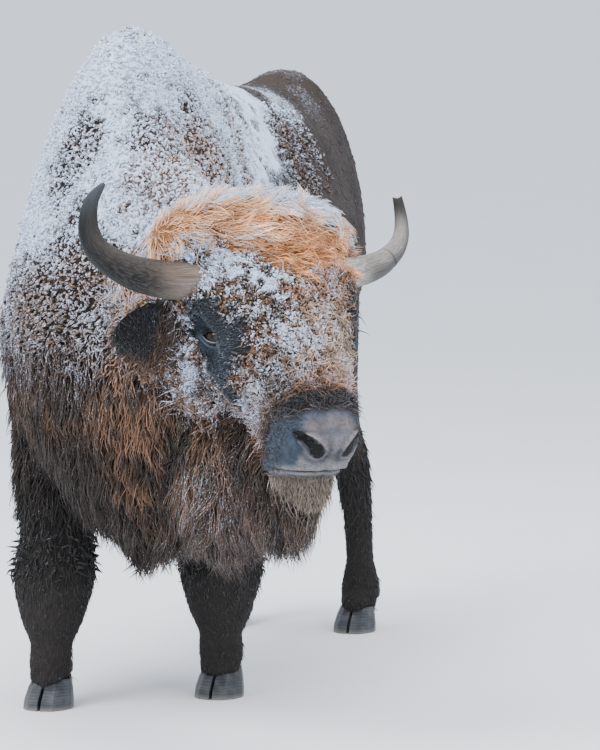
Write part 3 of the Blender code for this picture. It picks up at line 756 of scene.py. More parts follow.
def ear_piece(hand):
    """A cupped ear, open to the front."""
    root, tip = np.array((hand * 0.190, -0.018, -0.094)), np.array((hand * 0.314, 0.007, -0.226))
    along = unit(tip - root)
    front = np.array((hand * 0.25, -0.75, 0.60))
    front = unit(front - along * front.dot(along))
    across = np.cross(along, front)
    length = np.linalg.norm(tip - root)
    s, f = np.sin(turns_of(36)), np.cos(turns_of(36))
    rings = []
    for share, breadth, hollow, thick in eased(EAR_ROWS, 26):
        ring = root + along * length * share + np.outer(breadth * s, across)
        rings.append(ring + np.outer(thick * f + hollow * (s**2 - 1.0), front))
    points, faces = loft(rings)
    return closed_piece("ear", from_head(points), faces)


def eye_axes(hand):
    """Middle of an eye and the directions of its lids: toward the nose, up, and out of the socket."""
    out = unit(np.array((hand * 0.77, -0.34, 0.54)))
    nose = np.array((0.0, -0.70, 0.71))
    nose = unit(nose - out * nose.dot(out))
    up = np.cross(nose, out) * hand
    if up[2] < 0:
        up = -up
    centre = np.array((hand * EYE.x, EYE.y, EYE.z)) - out * EYE_SINK
    return centre, nose, up, out


def lid_edge(turns):
    """Reach of the almond between the lids for directions round the eye, 0 being toward the nose."""
    c, s = np.abs(np.cos(turns)), np.abs(np.sin(turns))
    high = np.where(np.sin(turns) > 0, 0.0124, 0.0106)
    bow = high * (c / 0.0365) ** 2 + 1e-6
    return (np.sqrt(s**2 + 4 * high * bow) - s) / (2 * bow)


def lids_piece(hand):
    """The lids with their folds, as a low mound over the eyeball."""
    centre, nose, up, out = eye_axes(hand)
    turns = turns_of(96)
    c, s = np.cos(turns), np.sin(turns)
    edge = lid_edge(turns)
    upper, lower = ramp(s, -0.1, 0.4), ramp(-s, 0.0, 0.5)
    rings = []
    for share in (i / 43 for i in range(44)):
        reach = 0.006 + (0.062 - 0.006) * share
        ball = np.sqrt(np.clip((EYE_RADIUS + 0.0026) ** 2 - min(reach, 0.0320) ** 2, 0, None))
        slope = 0.0230 - 0.48 * max(reach - 0.0270, 0) - 9 * max(reach - 0.036, 0) ** 2
        off_ball = ramp(reach, 0.023, 0.035)
        height = ball * (1 - off_ball) + slope * off_ball
        # A rolled rim, then hollows and folds of the upper and of the lower lid.
        for lid, rise, past, width in (
            (1.0, 0.0018, 0.0022, 0.0018),
            (upper, -0.0040, 0.0080, 0.0020),
            (upper, 0.0044, 0.0145, 0.0038),
            (upper, -0.0026, 0.0205, 0.0020),
            (lower, -0.0032, 0.0088, 0.0018),
            (lower, 0.0026, 0.0130, 0.0028),
            (lower, -0.0028, 0.0182, 0.0020),
        ):
            height = height + lid * rise * bell(reach - edge, past, width)
        # The tear groove runs down from the corner at the nose.
        groove = np.abs(np.angle(np.exp(1j * (turns + 0.85)))) * reach
        height -= 0.0034 * bell(groove, 0, 0.0030) * ramp(reach, 0.018, 0.026)
        rings.append(centre + (np.outer(reach * c, nose) + np.outer(reach * s, up) + np.outer(height, out)))
    rings.append(centre + np.outer(0.05 * c, nose) + np.outer(0.05 * s, up) - out * 0.055)
    points, faces = loft(rings)
    return closed_piece("lids", from_head(points), faces)


def lid_opening(hand):
    """The almond between the lids and the room behind it for the eyeball."""
    centre, nose, up, out = eye_axes(hand)
    turns = turns_of(72)
    rings = []
    for height, widen in ((0.055, 1.40), (0.040, 1.14), (0.0325, 1.0), (0.0270, 1.0), (0.012, 0.98)):
        wide = lid_edge(turns) * widen
        flat = np.outer(wide * np.cos(turns), nose) + np.outer(wide * np.sin(turns), up)
        rings.append(centre + flat + out * height)
    points, faces = loft(rings)
    return closed_piece("opening", from_head(points), faces)


def eye_room(hand):
    """The hollow that holds the eyeball."""
    centre = eye_axes(hand)[0]
    points, faces = egg((0, 0, 0), (EYE_RADIUS + 0.0006,) * 3, sides=64, rows=40)
    return object_from("room", from_head(points + centre), faces)


def build_skin():
    """One skin over the whole animal, with muzzle, ears, lids and sockets."""
    skin = gather_flesh()
    inset_skin(skin)
    cut_or_join(skin, muzzle_piece(), "UNION")
    cut_or_join(skin, chin_piece(), "UNION")
    for hand in (-1, 1):
        cut_or_join(skin, ear_piece(hand), "UNION")
        cut_or_join(skin, lids_piece(hand), "UNION")
        cut_or_join(skin, lid_opening(hand), "DIFFERENCE")
        cut_or_join(skin, eye_room(hand), "DIFFERENCE")
    drop_scraps(skin)
    skin.data.shade_smooth()
    return skin


# ---- coat
PROFILE = (0.75, 1.0, 0.8, 0.6, 0.45)  # width of a tuft's rings, from its root
MEASURED = 50  # tufts whose mean length runs the streaks along the hair
STRAND_APART = 200  # keeps every tuft's streaks its own
BRISTLES = 0.12  # share of longer hairs on the muzzle
NECK_LEAN = 0.45  # sideways run of the middle line along the turned neck


class Surface:
    """The skin as triangles, ready for picking the roots of tufts."""

    def __init__(self, obj):
        mesh = obj.data
        mesh.calc_loop_triangles()
        self.points, self.normals = coordinates(mesh), vertex_normals(mesh)
        self.tris = read(mesh.loop_triangles, "vertices", 3, np.int32)
        a, b, c = (self.points[self.tris[:, k]] for k in range(3))
        self.areas = np.linalg.norm(np.cross(b - a, c - a), axis=1) / 2
        self.centres = (a + b + c) / 3
        self.regions = Regions(self.centres)
        # Neighbouring triangles get neighbouring numbers, which spreads the roots evenly.
        cell = np.floor((self.centres - self.centres.min(0)) / ROOT_CELL).astype(np.int64)
        code = np.zeros(len(cell), np.int64)
        for bit in range(9):
            for k in range(3):
                code |= ((cell[:, k] >> bit) & 1) << (3 * bit + k)
        self.order = np.argsort(code, kind="stable")

    def pick(self, density, count):
        """Triangles and corner shares of count roots, spread by density."""
        weight = (self.areas * density)[self.order]
        total = np.cumsum(weight)
        spots = (np.arange(count) + rng.random(count)) / count * total[-1]
        tri = self.order[np.searchsorted(total, spots).clip(0, len(weight) - 1)]
        a, b = rng.random(count), rng.random(count)
        over = a + b > 1
        a[over], b[over] = 1 - a[over], 1 - b[over]
        return tri, np.stack((1 - a - b, a, b), 1)

    def at(self, tri, share):
        """Places and normals of roots."""
        corner = self.tris[tri]
        place = np.einsum("nk,nkd->nd", share, self.points[corner])
        normal = np.einsum("nk,nkd->nd", share, self.normals[corner])
        return place, unit(normal)

    def unwrap(self, tri, share):
        """Each root's place on an unwrap of the skin that carries it."""
        used = np.unique(tri)
        near = np.zeros(len(self.points), bool)
        near[self.tris[used].ravel()] = True
        keep = np.flatnonzero(near[self.tris].any(1))
        verts, faces = np.unique(self.tris[keep], return_inverse=True)
        faces = faces.reshape(-1, 3)
        mesh = bpy.data.meshes.new("unwrap")
        fill_mesh(mesh, self.points[verts], faces.ravel(), np.arange(len(faces)) * 3)
        obj = put("unwrap", mesh)
        bpy.context.view_layer.objects.active = obj
        obj.select_set(True)
        mesh.uv_layers.new(name="flat")
        bpy.ops.object.mode_set(mode="EDIT")
        bpy.ops.mesh.select_all(action="SELECT")
        bpy.ops.uv.smart_project(angle_limit=math.radians(66), island_margin=0.002)
        bpy.ops.object.mode_set(mode="OBJECT")
        flat = read(mesh.uv_layers[0].uv, "vector", 2, np.float32).reshape(-1, 3, 2)
        bpy.data.objects.remove(obj)
        bpy.data.meshes.remove(mesh)
        row = np.searchsorted(keep, tri)
        return np.einsum("nk,nkd->nd", share, flat[row])


def fill_mesh(mesh, points, corners, starts):
    """Writes vertices and faces into an empty mesh."""
    mesh.vertices.add(len(points))
    mesh.vertices.foreach_set("co", np.asarray(points, np.float32).ravel())
    mesh.loops.add(len(corners))
    mesh.loops.foreach_set("vertex_index", np.asarray(corners, np.int32))
    mesh.polygons.add(len(starts))
    mesh.polygons.foreach_set("loop_start", np.asarray(starts, np.int32))
    mesh.update(calc_edges=True)


def write_vectors(mesh, name, values):
    """Stores a vector for each vertex."""
    layer = mesh.attributes.new(name, "FLOAT_VECTOR", "POINT")
    layer.data.foreach_set("vector", np.asarray(values, np.float32).ravel())


def write_colours(mesh, name, values):
    """Stores a colour for each vertex."""
    layer = mesh.color_attributes.new(name, "FLOAT_COLOR", "POINT")
    layer.data.foreach_set("color", np.asarray(values, np.float32).ravel())


def clumped(paths, size, pull, seed):
    """Draws neighbouring tufts together toward their tips, as locks."""
    roots = paths[:, 0]
    shift = chance(np.array([[seed, 1, 2], [seed, 3, 4], [seed, 5, 6]]), 3)
    cell = np.floor(roots / size + shift).astype(np.int64)
    leaders = np.unique(np.bitwise_xor.reduce(cell * CLUMP_STEPS, axis=1), return_index=True)[1]
    tree = KDTree(len(leaders))
    for k, i in enumerate(leaders):
        tree.insert(roots[i], k)
    tree.balance()
    nearest = np.array([tree.find(p)[1] for p in roots])
    lead = leaders[nearest]
    share = np.linspace(0, 1, paths.shape[1])[None, :, None] ** 1.1 * np.asarray(pull).reshape(-1, 1, 1)
    own = (roots - roots[lead])[:, None, :] * (1 - share)
    return paths * (1 - share) + (paths[lead] + own * 0.25) * share, nearest


def centrelines(r, lie, style):
    """The middle line of every tuft."""
    n, k = len(lie), style["rings"]
    side = np.cross(r.normal, lie)
    length, lift, curl, yaw, twist = (style[key] for key in ("length", "lift", "curl", "yaw", "twist"))
    droop, wave = (np.broadcast_to(style.get(key, 0.0), n) for key in ("droop", "wave"))
    phase = rng.random(n) * 2 * math.pi
    down = np.array((0.0, 0.0, -1.0))
    out = np.empty((n, k + 1, 3))
    out[:, 0] = r.points - r.normal * style.get("sink", 0.003)
    for i in range(k):
        t = (i + 0.5) / k
        turn = yaw + twist * t
        rise = lift - curl * t
        flat = np.cos(turn)[:, None] * lie + np.sin(turn)[:, None] * side
        way = np.sin(rise)[:, None] * r.normal + np.cos(rise)[:, None] * flat
        way = way * (1 - droop * t)[:, None] + down * (droop * t)[:, None]
        swing = wave * np.sin(2 * math.pi * style.get("beats", 1.5) * t + phase)
        way = way + side * swing[:, None]
        out[:, i + 1] = out[:, i] + unit(way) * (length / k)[:, None]
    out[..., 2] = np.maximum(out[..., 2], FLOOR_GAP)
    return out


def tuft_faces(rings):
    """Corners and first corners of the faces of a three-sided spindle with a pointed tip."""
    corners, starts = [0, 2, 1], [0]
    last = rings * 3 - 3
    for at in range(0, last, 3):
        for j in range(3):
            k = (j + 1) % 3
            starts.append(len(corners))
            corners += [at + j, at + k, at + 3 + k, at + 3 + j]
    for j in range(3):
        starts.append(len(corners))
        corners += [last + j, last + (j + 1) % 3, last + 3]
    return np.array(corners), np.array(starts)


def tuft_mesh(name, paths, style, part, colours, snow, uv, material):
    """One solid spindle along every line, joined in a single mesh."""
    n, rings = len(paths), style["rings"]
    stride = rings * 3 + 1
    way = unit(np.gradient(paths, axis=1))
    side = unit(np.cross(way[:, 0], rng.normal(size=(n, 3))))
    points = np.empty((n, stride, 3), np.float32)
    for i, swell in zip(range(rings), style.get("profile", PROFILE)):
        side = unit(side - way[:, i] * np.sum(side * way[:, i], 1, keepdims=True))
        other = np.cross(way[:, i], side)
        wide = style["radius"][part] * swell
        for j in range(3):
            turn = 2 * math.pi * j / 3
            over = side * (math.cos(turn) * wide)[:, None]
            down = other * (math.sin(turn) * wide * style["flatness"])[:, None]
            points[:, i * 3 + j] = paths[:, i] + over + down
    points[:, -1] = paths[:, -1]
    corners, starts = tuft_faces(rings)
    all_corners = (corners[None] + (np.arange(n) * stride)[:, None]).ravel()
    all_starts = (starts[None] + (np.arange(n) * len(corners))[:, None]).ravel()
    mesh = bpy.data.meshes.new(name)
    fill_mesh(mesh, points.reshape(-1, 3), all_corners, all_starts)
    mesh.polygons.foreach_set("use_smooth", np.ones(len(mesh.polygons), bool))
    along = np.append(np.repeat(np.arange(rings) / rings, 3), 1.0)
    across = np.append(np.tile((0.0, 0.5, 1.0), rings), 0.5)
    patch = np.stack((across - 0.5, along - 0.5), 1) * PATCH
    spot = (uv[:, None] + patch[None]).reshape(-1, 2)
    layer = mesh.uv_layers.new(name="OFBake")
    layer.uv.foreach_set("vector", spot[all_corners].astype(np.float32).ravel())
    deep, tip = colours
    # From root to tip: the darker root colour is partly the hair's own and partly painted shade deep in the
    # coat.
    share = along[None, :, None] ** 0.8
    shade = deep[:, None] * (1 - share) + tip[:, None] * share
    from_root = np.clip(0.45 - 0.95 * snow, -0.35, 0.4)[:, None]
    held = snow[:, None] * ramp(along[None], from_root, from_root + 0.35)
    write_colours(mesh, "Coat", np.concatenate((shade, held[..., None]), 2))
    steps = np.linalg.norm(np.diff(paths[:MEASURED], axis=1), axis=2).mean(0)
    reach = np.append(0.0, np.cumsum(steps))
    strand = np.empty((n, stride, 3), np.float32)
    strand[..., 0] = across[None] + rng.random(n)[:, None] * STRAND_APART
    strand[..., 1] = np.append(np.repeat(reach[:rings], 3), reach[-1])[None]
    strand[..., 2] = rng.random(n)[:, None] * STRAND_APART
    write_vectors(mesh, "Strand", strand)
    mesh.materials.append(material)
    obj = put(name, mesh)
    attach(obj, "root")
    return obj


def grow(name, surface, share_of, count, style_of, material, sides=True):
    """Grows one kind of coat where share_of says, in a left and a right piece."""
    tri, share = surface.pick(share_of(surface.regions), count)
    place, normal = surface.at(tri, share)
    r = Regions(place)
    r.normal = normal
    lie = lie_of_coat(r)
    style = style_of(r)
    paths = centrelines(r, lie, style)
    clump = np.zeros(count, int)
    if "clump" in style:
        paths, clump = clumped(paths, style["clump"], style["pull"], len(name))
    deep, tip, snow = coat_colours(r)
    own = rng.random(count)
    shared = rng.random(clump.max() + 1)[clump]
    own_part, shared_part = style.get("vary", (0.45, 0.50))
    bright = 1.02 - 0.5 * (own_part + shared_part) + own_part * own + shared_part * shared
    tip = tip * (bright * style.get("tint", 1.0))[:, None]
    deep = deep * (0.8 + 0.4 * own)[:, None]
    uneven = style.get("uneven", 0.45)
    laden = 0.45 * own + 0.55 * rng.random(clump.max() + 1)[clump]
    snow = np.clip(snow * (1 - uneven + 2 * uneven * laden), 0, 1)
    # Left and right of the line that runs along the back and down the face.
    on_body = place[:, 0] - HOME[0] - NECK_LEAN * np.clip(-r.y, 0, 1)
    middle_line = np.where(r.head + r.poll + r.muzzle > 0.3, r.u, on_body)
    halves = (("left", middle_line > 0), ("right", middle_line <= 0)) if sides else (("all", own >= 0),)
    triangles = 6 * style["rings"] - 2
    for label, mask in halves:
        half = np.flatnonzero(mask)
        parts = math.ceil(len(half) * triangles / PIECE_TRIANGLES)
        half = half[np.argsort(place[half, 1], kind="stable")]
        for k, part in enumerate(np.array_split(half, parts)):
            uv = surface.unwrap(tri[part], share[part])
            piece, colours = f"coat_{name}_{label}_{k + 1}", (deep[part], tip[part])
            obj = tuft_mesh(piece, paths[part], style, part, colours, snow[part], uv, material)


def spread(r, value, part):
    """A number for every tuft, round a value and varied by a part of it."""
    return value * (1 + part * (2 * rng.random(len(r.x)) - 1))


def bent(r, width):
    """An angle for every tuft, to either side."""
    return rng.normal(0, width, len(r.x))


def face_style(r):
    """Tight curls bunched in small knobs, flatter toward the nose and hanging on the jaw."""
    near_nose = ramp(-r.v, 0.27, 0.38)
    low = ramp(-r.w, 0.12, 0.24) * ramp(-r.v, 0.08, 0.20)
    return dict(
        length=spread(r, 0.0150, 0.3) * (1 - 0.10 * near_nose) * (1 + 1.2 * low + 0.9 * r.horn_root),
        radius=spread(r, 0.0021, 0.35) * (1 - 0.35 * near_nose) * (1 - 0.2 * low),
        lift=spread(r, 1.45, 0.2) * (1 - 0.60 * near_nose) * (1 - 0.45 * low),
        curl=spread(r, 2.0, 0.5) * (1 - 0.40 * near_nose) * (1 - 0.5 * low),
        yaw=bent(r, 1.4) * (1 - 0.5 * near_nose) * (1 - 0.6 * low), twist=bent(r, 1.6),
        pull=spread(r, 0.70, 0.25) * (1 - 0.4 * near_nose), clump=0.0100,
        rings=2, profile=(0.85, 1.15), flatness=0.9, uneven=0.75, vary=(0.35, 0.85),
    )


def wisp_style(r):
    """Fine frizzy hair standing over the curls of the nose and cheek."""
    return dict(
        length=spread(r, 0.034, 0.5), radius=spread(r, 0.00115, 0.3),
        lift=spread(r, 0.75, 0.6), curl=spread(r, 0.9, 0.6), yaw=bent(r, 0.9), twist=bent(r, 1.4),
        wave=spread(r, 0.5, 0.6), tint=spread(r, 2.4, 0.4),
        rings=3, profile=(1.0, 0.9, 0.7), flatness=0.8,
    )


def poll_style(r):
    """Long silky locks swept across the brow, curling at their lower edge."""
    edge = ramp(0.06 - r.v, 0, 0.10)
    return dict(
        length=spread(r, 0.070, 0.4) * (1 - 0.25 * edge), radius=spread(r, 0.0016, 0.4),
        lift=spread(r, 0.48, 0.6) + 0.17 * edge + 0.16 * ramp(r.v, 0.08, 0.16),
        curl=spread(r, 0.55, 0.5) + 0.5 * edge, yaw=bent(r, 0.34), twist=bent(r, 0.9),
        wave=spread(r, 0.60, 0.6), beats=1.6, pull=spread(r, 0.72, 0.30), clump=0.030,
        rings=5, flatness=0.6, uneven=0.60, vary=(0.35, 0.85),
    )


def wool_style(r):
    """Dense woolly curls, gathered in knobs."""
    low = ramp(1.15 - r.z, 0, 0.25)
    return dict(
        length=spread(r, 0.018, 0.35) * (1 + 0.8 * low), radius=spread(r, 0.0033, 0.35) * (1 - 0.2 * low),
        lift=spread(r, 1.35, 0.30), curl=spread(r, 1.7, 0.50) * (1 - 0.2 * low),
        yaw=bent(r, 1.2) * (1 - 0.4 * low), twist=bent(r, 1.4),
        pull=spread(r, 0.70, 0.25) * (1 - 0.2 * low), clump=0.0155,
        rings=2, profile=(0.85, 1.15), flatness=0.9,
    )


def long_style(r):
    """Shaggy hanging locks of the neck, chest, throat and beard."""
    length = spread(r, 0.080, 0.35) * (1 + 0.35 * r.beard) * (1 - 0.40 * ramp(r.z, 0.82, 1.02))
    return dict(
        length=length * (1 - 0.60 * ramp(0.60 - r.z, 0, 0.18) * r.fore), radius=spread(r, 0.0018, 0.45),
        lift=spread(r, 0.70, 0.4), curl=spread(r, 0.95, 0.4), yaw=bent(r, 0.35), twist=bent(r, 0.7),
        droop=0.55, wave=spread(r, 0.45, 0.7), pull=spread(r, 0.60, 0.5), clump=0.030,
        rings=3, profile=(0.9, 1.0, 0.65), flatness=0.6,
    )


def short_style(r):
    """Flat short coat of the back and rump, shaggier under the belly."""
    return dict(
        length=spread(r, 0.026, 0.3) * (1 + 1.3 * r.belly),
        radius=spread(r, 0.0014, 0.3) * (1 + 0.9 * r.belly),
        lift=spread(r, 0.14, 0.5) * (1 + 4 * r.belly), curl=spread(r, 0.22, 0.5),
        yaw=bent(r, 0.35), twist=bent(r, 0.4), droop=0.5 * r.belly,
        rings=2, profile=(0.8, 1.0), flatness=0.5, sink=0.001,
    )


def leg_style(r):
    """Close hair of the lower legs, longer behind them."""
    back, high = ramp(r.normal[:, 1], 0.3, 0.8), ramp(r.z, 0.22, 0.45)
    return dict(
        length=spread(r, 0.016, 0.4) * (1 + 1.2 * back + 1.7 * high),
        radius=spread(r, 0.0015, 0.4) * (1 + 0.4 * high),
        lift=spread(r, 0.25, 0.5) * (1 + 0.7 * back), curl=spread(r, 0.3, 0.5),
        yaw=bent(r, 0.25), twist=bent(r, 0.3),
        rings=2, profile=(1.0, 0.8), flatness=0.6, sink=0.0015,
    )


def fine_style(r):
    """Very short hair of the muzzle, chin and the patch round the eye."""
    length = spread(r, 0.0070, 0.4)
    bristles = r.muzzle * (rng.random(len(r.x)) < BRISTLES)
    around_eye = r.patch * (1 - 1.3 * r.by_eye)
    return dict(
        length=length * (1 + 1.2 * r.chin + 0.9 * around_eye + 1.6 * bristles + 1.4 * r.fuzz),
        radius=spread(r, 0.0005, 0.3) * (1 + r.chin + 0.8 * r.patch + 0.7 * r.fuzz),
        tint=1 + r.patch * spread(r, 0.6, 1.0) + 1.3 * r.fuzz,
        lift=spread(r, 0.35, 0.5) * (1 + r.chin), curl=spread(r, 0.3, 0.5),
        yaw=bent(r, 0.3), twist=bent(r, 0.3),
        rings=2, profile=(1.0, 0.8), flatness=0.7, sink=0.0008,
    )


def ear_style(r):
    """Short black hair in the cup of the ear, a brown fringe along its edge and shag round it."""
    front = ramp(r.normal @ (HEAD_AXES @ unit(np.array((0.0, -0.75, 0.60)))), 0.1, 0.6) * r.ear
    return dict(
        length=spread(r, 0.046, 0.4) * (1 - 0.55 * front), radius=spread(r, 0.0017, 0.3),
        lift=spread(r, 0.30, 0.5), curl=spread(r, 0.4, 0.5), yaw=bent(r, 0.4), twist=bent(r, 0.6),
        droop=0.4, wave=spread(r, 0.2, 0.6), rings=4, flatness=0.6, sink=0.001,
    )


def tail_style(r):
    """The tail's hair, ending in a long switch."""
    return dict(
        length=spread(r, 0.035, 0.3) * (1 + 2.2 * ramp(1.0 - r.z, 0.0, 0.2)), radius=spread(r, 0.0030, 0.3),
        lift=spread(r, 0.35, 0.5), curl=spread(r, 0.35, 0.4), yaw=bent(r, 0.3), twist=bent(r, 0.4),
        droop=0.5, wave=spread(r, 0.2, 0.6), pull=spread(r, 0.5, 0.4), clump=0.02, rings=4, flatness=0.6,
    )


# ---- materials
class Paint:
    """A node material under construction."""

    def __init__(self, name, **constants):
        self.material = bpy.data.materials.new(name)
        self.material.use_nodes = True
        self.tree = self.material.node_tree
        self.shader = next(n for n in self.tree.nodes if n.type == "BSDF_PRINCIPLED")
        for socket, value in constants.items():
            self.shader.inputs[socket.replace("_", " ")].default_value = value

    def node(self, kind, settings=None, **inputs):
        """Adds a node. Its inputs, by name or by number after a _, are constants or output sockets."""
        made = self.tree.nodes.new("ShaderNode" + kind)
        for key, value in (settings or {}).items():
            setattr(made, key, value)
        for key, value in inputs.items():
            socket = made.inputs[int(key[1:]) if key[0] == "_" else key]
            if isinstance(value, bpy.types.NodeSocket):
                self.tree.links.new(value, socket)
            else:
                socket.default_value = value
        return made

    def attribute(self, name):
        """The outputs of a vertex attribute."""
        return self.node("Attribute", {"attribute_name": name}).outputs

    def place(self):
        """The object's own coordinates."""
        return self.node("TexCoord").outputs["Object"]

    def noise(self, vector, scale, detail=2.0, roughness=0.5):
        """Noise with the given number of spots to the metre."""
        made = self.node("TexNoise", Vector=vector, Scale=scale, Detail=detail, Roughness=roughness)
        return made.outputs["Fac"]

    def stretched(self, vector, scale, turn=(0.0, 0.0, 0.0)):
        """Coordinates turned and then scaled apart along each axis."""
        turned = self.node("VectorRotate", {"rotation_type": "EULER_XYZ"}, Vector=vector, Rotation=turn)
        return self.node("VectorMath", {"operation": "MULTIPLY"}, _0=turned.outputs[0], _1=scale).outputs[0]

    def math(self, operation, a, b=0.0, c=0.0):
        """One sum."""
        return self.node("Math", {"operation": operation}, _0=a, _1=b, _2=c).outputs[0]

    def span(self, value, low, high, to_low=0.0, to_high=1.0):
        """A value taken from one span to another, held at its ends."""
        ends = {"_1": low, "_2": high, "_3": to_low, "_4": to_high}
        return self.node("MapRange", {"interpolation_type": "SMOOTHSTEP"}, Value=value, **ends).outputs[0]

    def vary(self, noise, low=0.0, high=1.0):
        """The middle of a noise's range, drawn out to a span."""
        return self.span(noise, 0.3, 0.7, low, high)

    def blend(self, share, a, b, kind="MIX"):
        """Blend of two colours."""
        return self.node("Mix", {"data_type": "RGBA", "blend_type": kind}, _0=share, _6=a, _7=b).outputs[2]

    def shaded(self, colour, value):
        """A colour made darker or lighter by a value."""
        grey = self.node("CombineColor", _0=value, _1=value, _2=value).outputs[0]
        return self.blend(1.0, colour, grey, "MULTIPLY")

    def bump(self, height, strength, distance, under=None):
        """Relief from a height, over another relief."""
        below = {"Normal": under} if under else {}
        return self.node("Bump", Height=height, Strength=strength, Distance=distance, **below).outputs[0]

    def finish(self, colour, roughness, normal=None):
        """Feeds the shader."""
        for socket, value in (("Base Color", colour), ("Roughness", roughness), ("Normal", normal)):
            if value:
                self.tree.links.new(value, self.shader.inputs[socket])
        return self.material


SNOW = (0.75, 0.85, 1.00, 1.0)
THIN_SNOW = (0.475, 0.55, 0.71, 1.0)


def coat_material():
    """Hair in its browns, darker at the roots partly as painted shade, with grains of snow held by the outer
    hair.
    """
    p = Paint("coat_hair", Specular_IOR_Level=0.12, Sheen_Weight=0.10, Sheen_Roughness=0.5)
    coat = p.attribute("Coat")
    place = p.place()
    lines = p.stretched(p.attribute("Strand")["Vector"], (7.0, 45.0, 1.0))
    fine, grain = p.noise(lines, 1.0), p.noise(place, 230.0, 3.0, 0.65)
    hair = p.shaded(coat["Color"], p.vary(fine, 0.50, 1.45))
    held = p.math("ADD", coat["Alpha"], p.math("MULTIPLY_ADD", grain, 2.4, -1.2))
    snow = p.span(held, 0.22, 0.88)
    crust = p.blend(p.vary(p.noise(place, 520.0, 2.0)), THIN_SNOW, SNOW)
    colour = p.blend(snow, hair, crust)
    rough = p.span(p.math("MULTIPLY_ADD", snow, 0.5, fine), 0.2, 1.1, 0.55, 0.85)
    return p.finish(colour, rough, p.bump(fine, 0.35, 0.0012))


def skin_material():
    """Short hair along the lie of the coat, and leather on the muzzle and round the eyes."""
    p = Paint("hide", Specular_IOR_Level=0.10)
    coat, bare = p.attribute("Coat"), p.attribute("Bare")
    leather, pad, wet = list(p.node("SeparateColor", Color=bare["Color"]).outputs)[:3]
    place = p.place()
    down_hair = p.noise(p.stretched(place, (520.0, 520.0, 60.0)), 1.0, 3.0)
    back_hair = p.noise(p.stretched(place, (420.0, 420.0, 55.0), (math.radians(-53), 0.0, 0.0)), 1.0, 3.0)
    hair_turn = p.math("SUBTRACT", down_hair, back_hair)
    streak = p.math("MULTIPLY_ADD", bare["Alpha"], hair_turn, back_hair)
    pores = p.noise(place, 650.0, 3.0)
    grain = p.noise(place, 170.0, 3.0, 0.6)
    cells = p.node("TexVoronoi", {"feature": "DISTANCE_TO_EDGE"}, Vector=place, Scale=230.0)
    cobble = p.span(cells.outputs["Distance"], 0.0, 0.28)
    broad = p.noise(place, 28.0, 4.0, 0.6)
    hair_shade = p.vary(streak, 0.62, 1.35)
    skin_shade = p.math("MULTIPLY", p.vary(pores, 0.85, 1.15), p.vary(broad, 0.78, 1.22))
    shade = p.math("MULTIPLY_ADD", leather, p.math("SUBTRACT", skin_shade, hair_shade), hair_shade)
    colour = p.shaded(coat["Color"], shade)
    cracks = p.math("MULTIPLY", pad, p.span(cobble, 0.0, 1.0, 0.45, 0.0))
    colour = p.blend(cracks, colour, (0.02, 0.02, 0.022, 1.0))
    held = p.math("ADD", coat["Alpha"], p.math("MULTIPLY_ADD", grain, 1.3, -0.65))
    crust = p.blend(p.vary(pores), THIN_SNOW, SNOW)
    colour = p.blend(p.span(held, 0.26, 0.80), colour, crust)
    dry = p.math("MULTIPLY_ADD", leather, -0.26, 0.80)
    rough = p.math("MULTIPLY_ADD", wet, -0.30, p.math("MULTIPLY_ADD", pores, 0.12, dry))
    relief = p.bump(streak, 0.55, 0.0016)
    height = p.math("MULTIPLY_ADD", pores, 0.35, p.math("MULTIPLY", cobble, pad))
    return p.finish(colour, rough, p.bump(height, 0.55, 0.0009, relief))


def horn_material():
    """Ridged horn, brown and marbled at its root and slate grey toward its tip."""
    p = Paint("horn_sheath", Specular_IOR_Level=0.15)
    tint = p.attribute("Tint")
    grain = p.attribute("Grain")["Vector"]
    ridges = p.noise(p.stretched(grain, (26.0, 26.0, 5.0)), 1.0, 4.0, 0.6)
    fine = p.noise(p.stretched(grain, (90.0, 90.0, 14.0)), 1.0, 3.0)
    marble = p.noise(p.stretched(grain, (5.0, 5.0, 16.0)), 1.0, 5.0, 0.65)
    shade = p.math("MULTIPLY", p.vary(ridges, 0.38, 1.62), p.vary(fine, 0.74, 1.26))
    colour = p.shaded(tint["Color"], shade)
    worn = p.math("MULTIPLY", tint["Alpha"], p.span(marble, 0.42, 0.62))
    colour = p.blend(worn, colour, (0.125, 0.100, 0.080, 1.0))
    rough = p.span(p.math("ADD", ridges, marble), 0.6, 1.4, 0.34, 0.62)
    return p.finish(colour, rough, p.bump(fine, 0.35, 0.0007, p.bump(ridges, 0.55, 0.0022)))


def hoof_material():
    """Blue-grey hoof with growth rings and a pale scuffed rim."""
    p = Paint("hoof_horn", Specular_IOR_Level=0.4)
    place = p.place()
    height = p.node("SeparateXYZ", Vector=place).outputs[2]
    wobble = p.noise(place, 30.0, 3.0)
    rings = p.math("SINE", p.math("MULTIPLY_ADD", wobble, 9.0, p.math("MULTIPLY", height, 900.0)))
    fine = p.noise(p.stretched(place, (700.0, 700.0, 90.0)), 1.0, 3.0)
    tone = p.vary(p.math("MULTIPLY_ADD", rings, 0.07, wobble))
    colour = p.blend(tone, (0.020, 0.023, 0.027, 1.0), (0.062, 0.066, 0.073, 1.0))
    colour = p.blend(p.span(height, 0.014, 0.0, 0.0, 0.6), colour, (0.20, 0.18, 0.155, 1.0))
    rough = p.vary(fine, 0.38, 0.66)
    return p.finish(colour, rough, p.bump(fine, 0.35, 0.0006, p.bump(rings, 0.18, 0.0006)))


def eye_material():
    """The eyeball's own colours, finely rayed and veined, under a wet cornea."""
    p = Paint("eyeball", Coat_Weight=0.30, Coat_Roughness=0.03, Specular_IOR_Level=0.12)
    tint = p.attribute("Tint")
    place = p.place()
    rays = p.noise(place, 900.0, 3.0)
    veins = p.noise(place, 260.0, 4.0, 0.7)
    shade = p.math("MULTIPLY", p.vary(rays, 0.75, 1.25), p.span(veins, 0.35, 0.65, 0.9, 1.1))
    colour = p.shaded(tint["Color"], shade)
    return p.finish(colour, p.span(rays, 0.2, 0.8, 0.10, 0.22), p.bump(veins, 0.05, 0.0003))


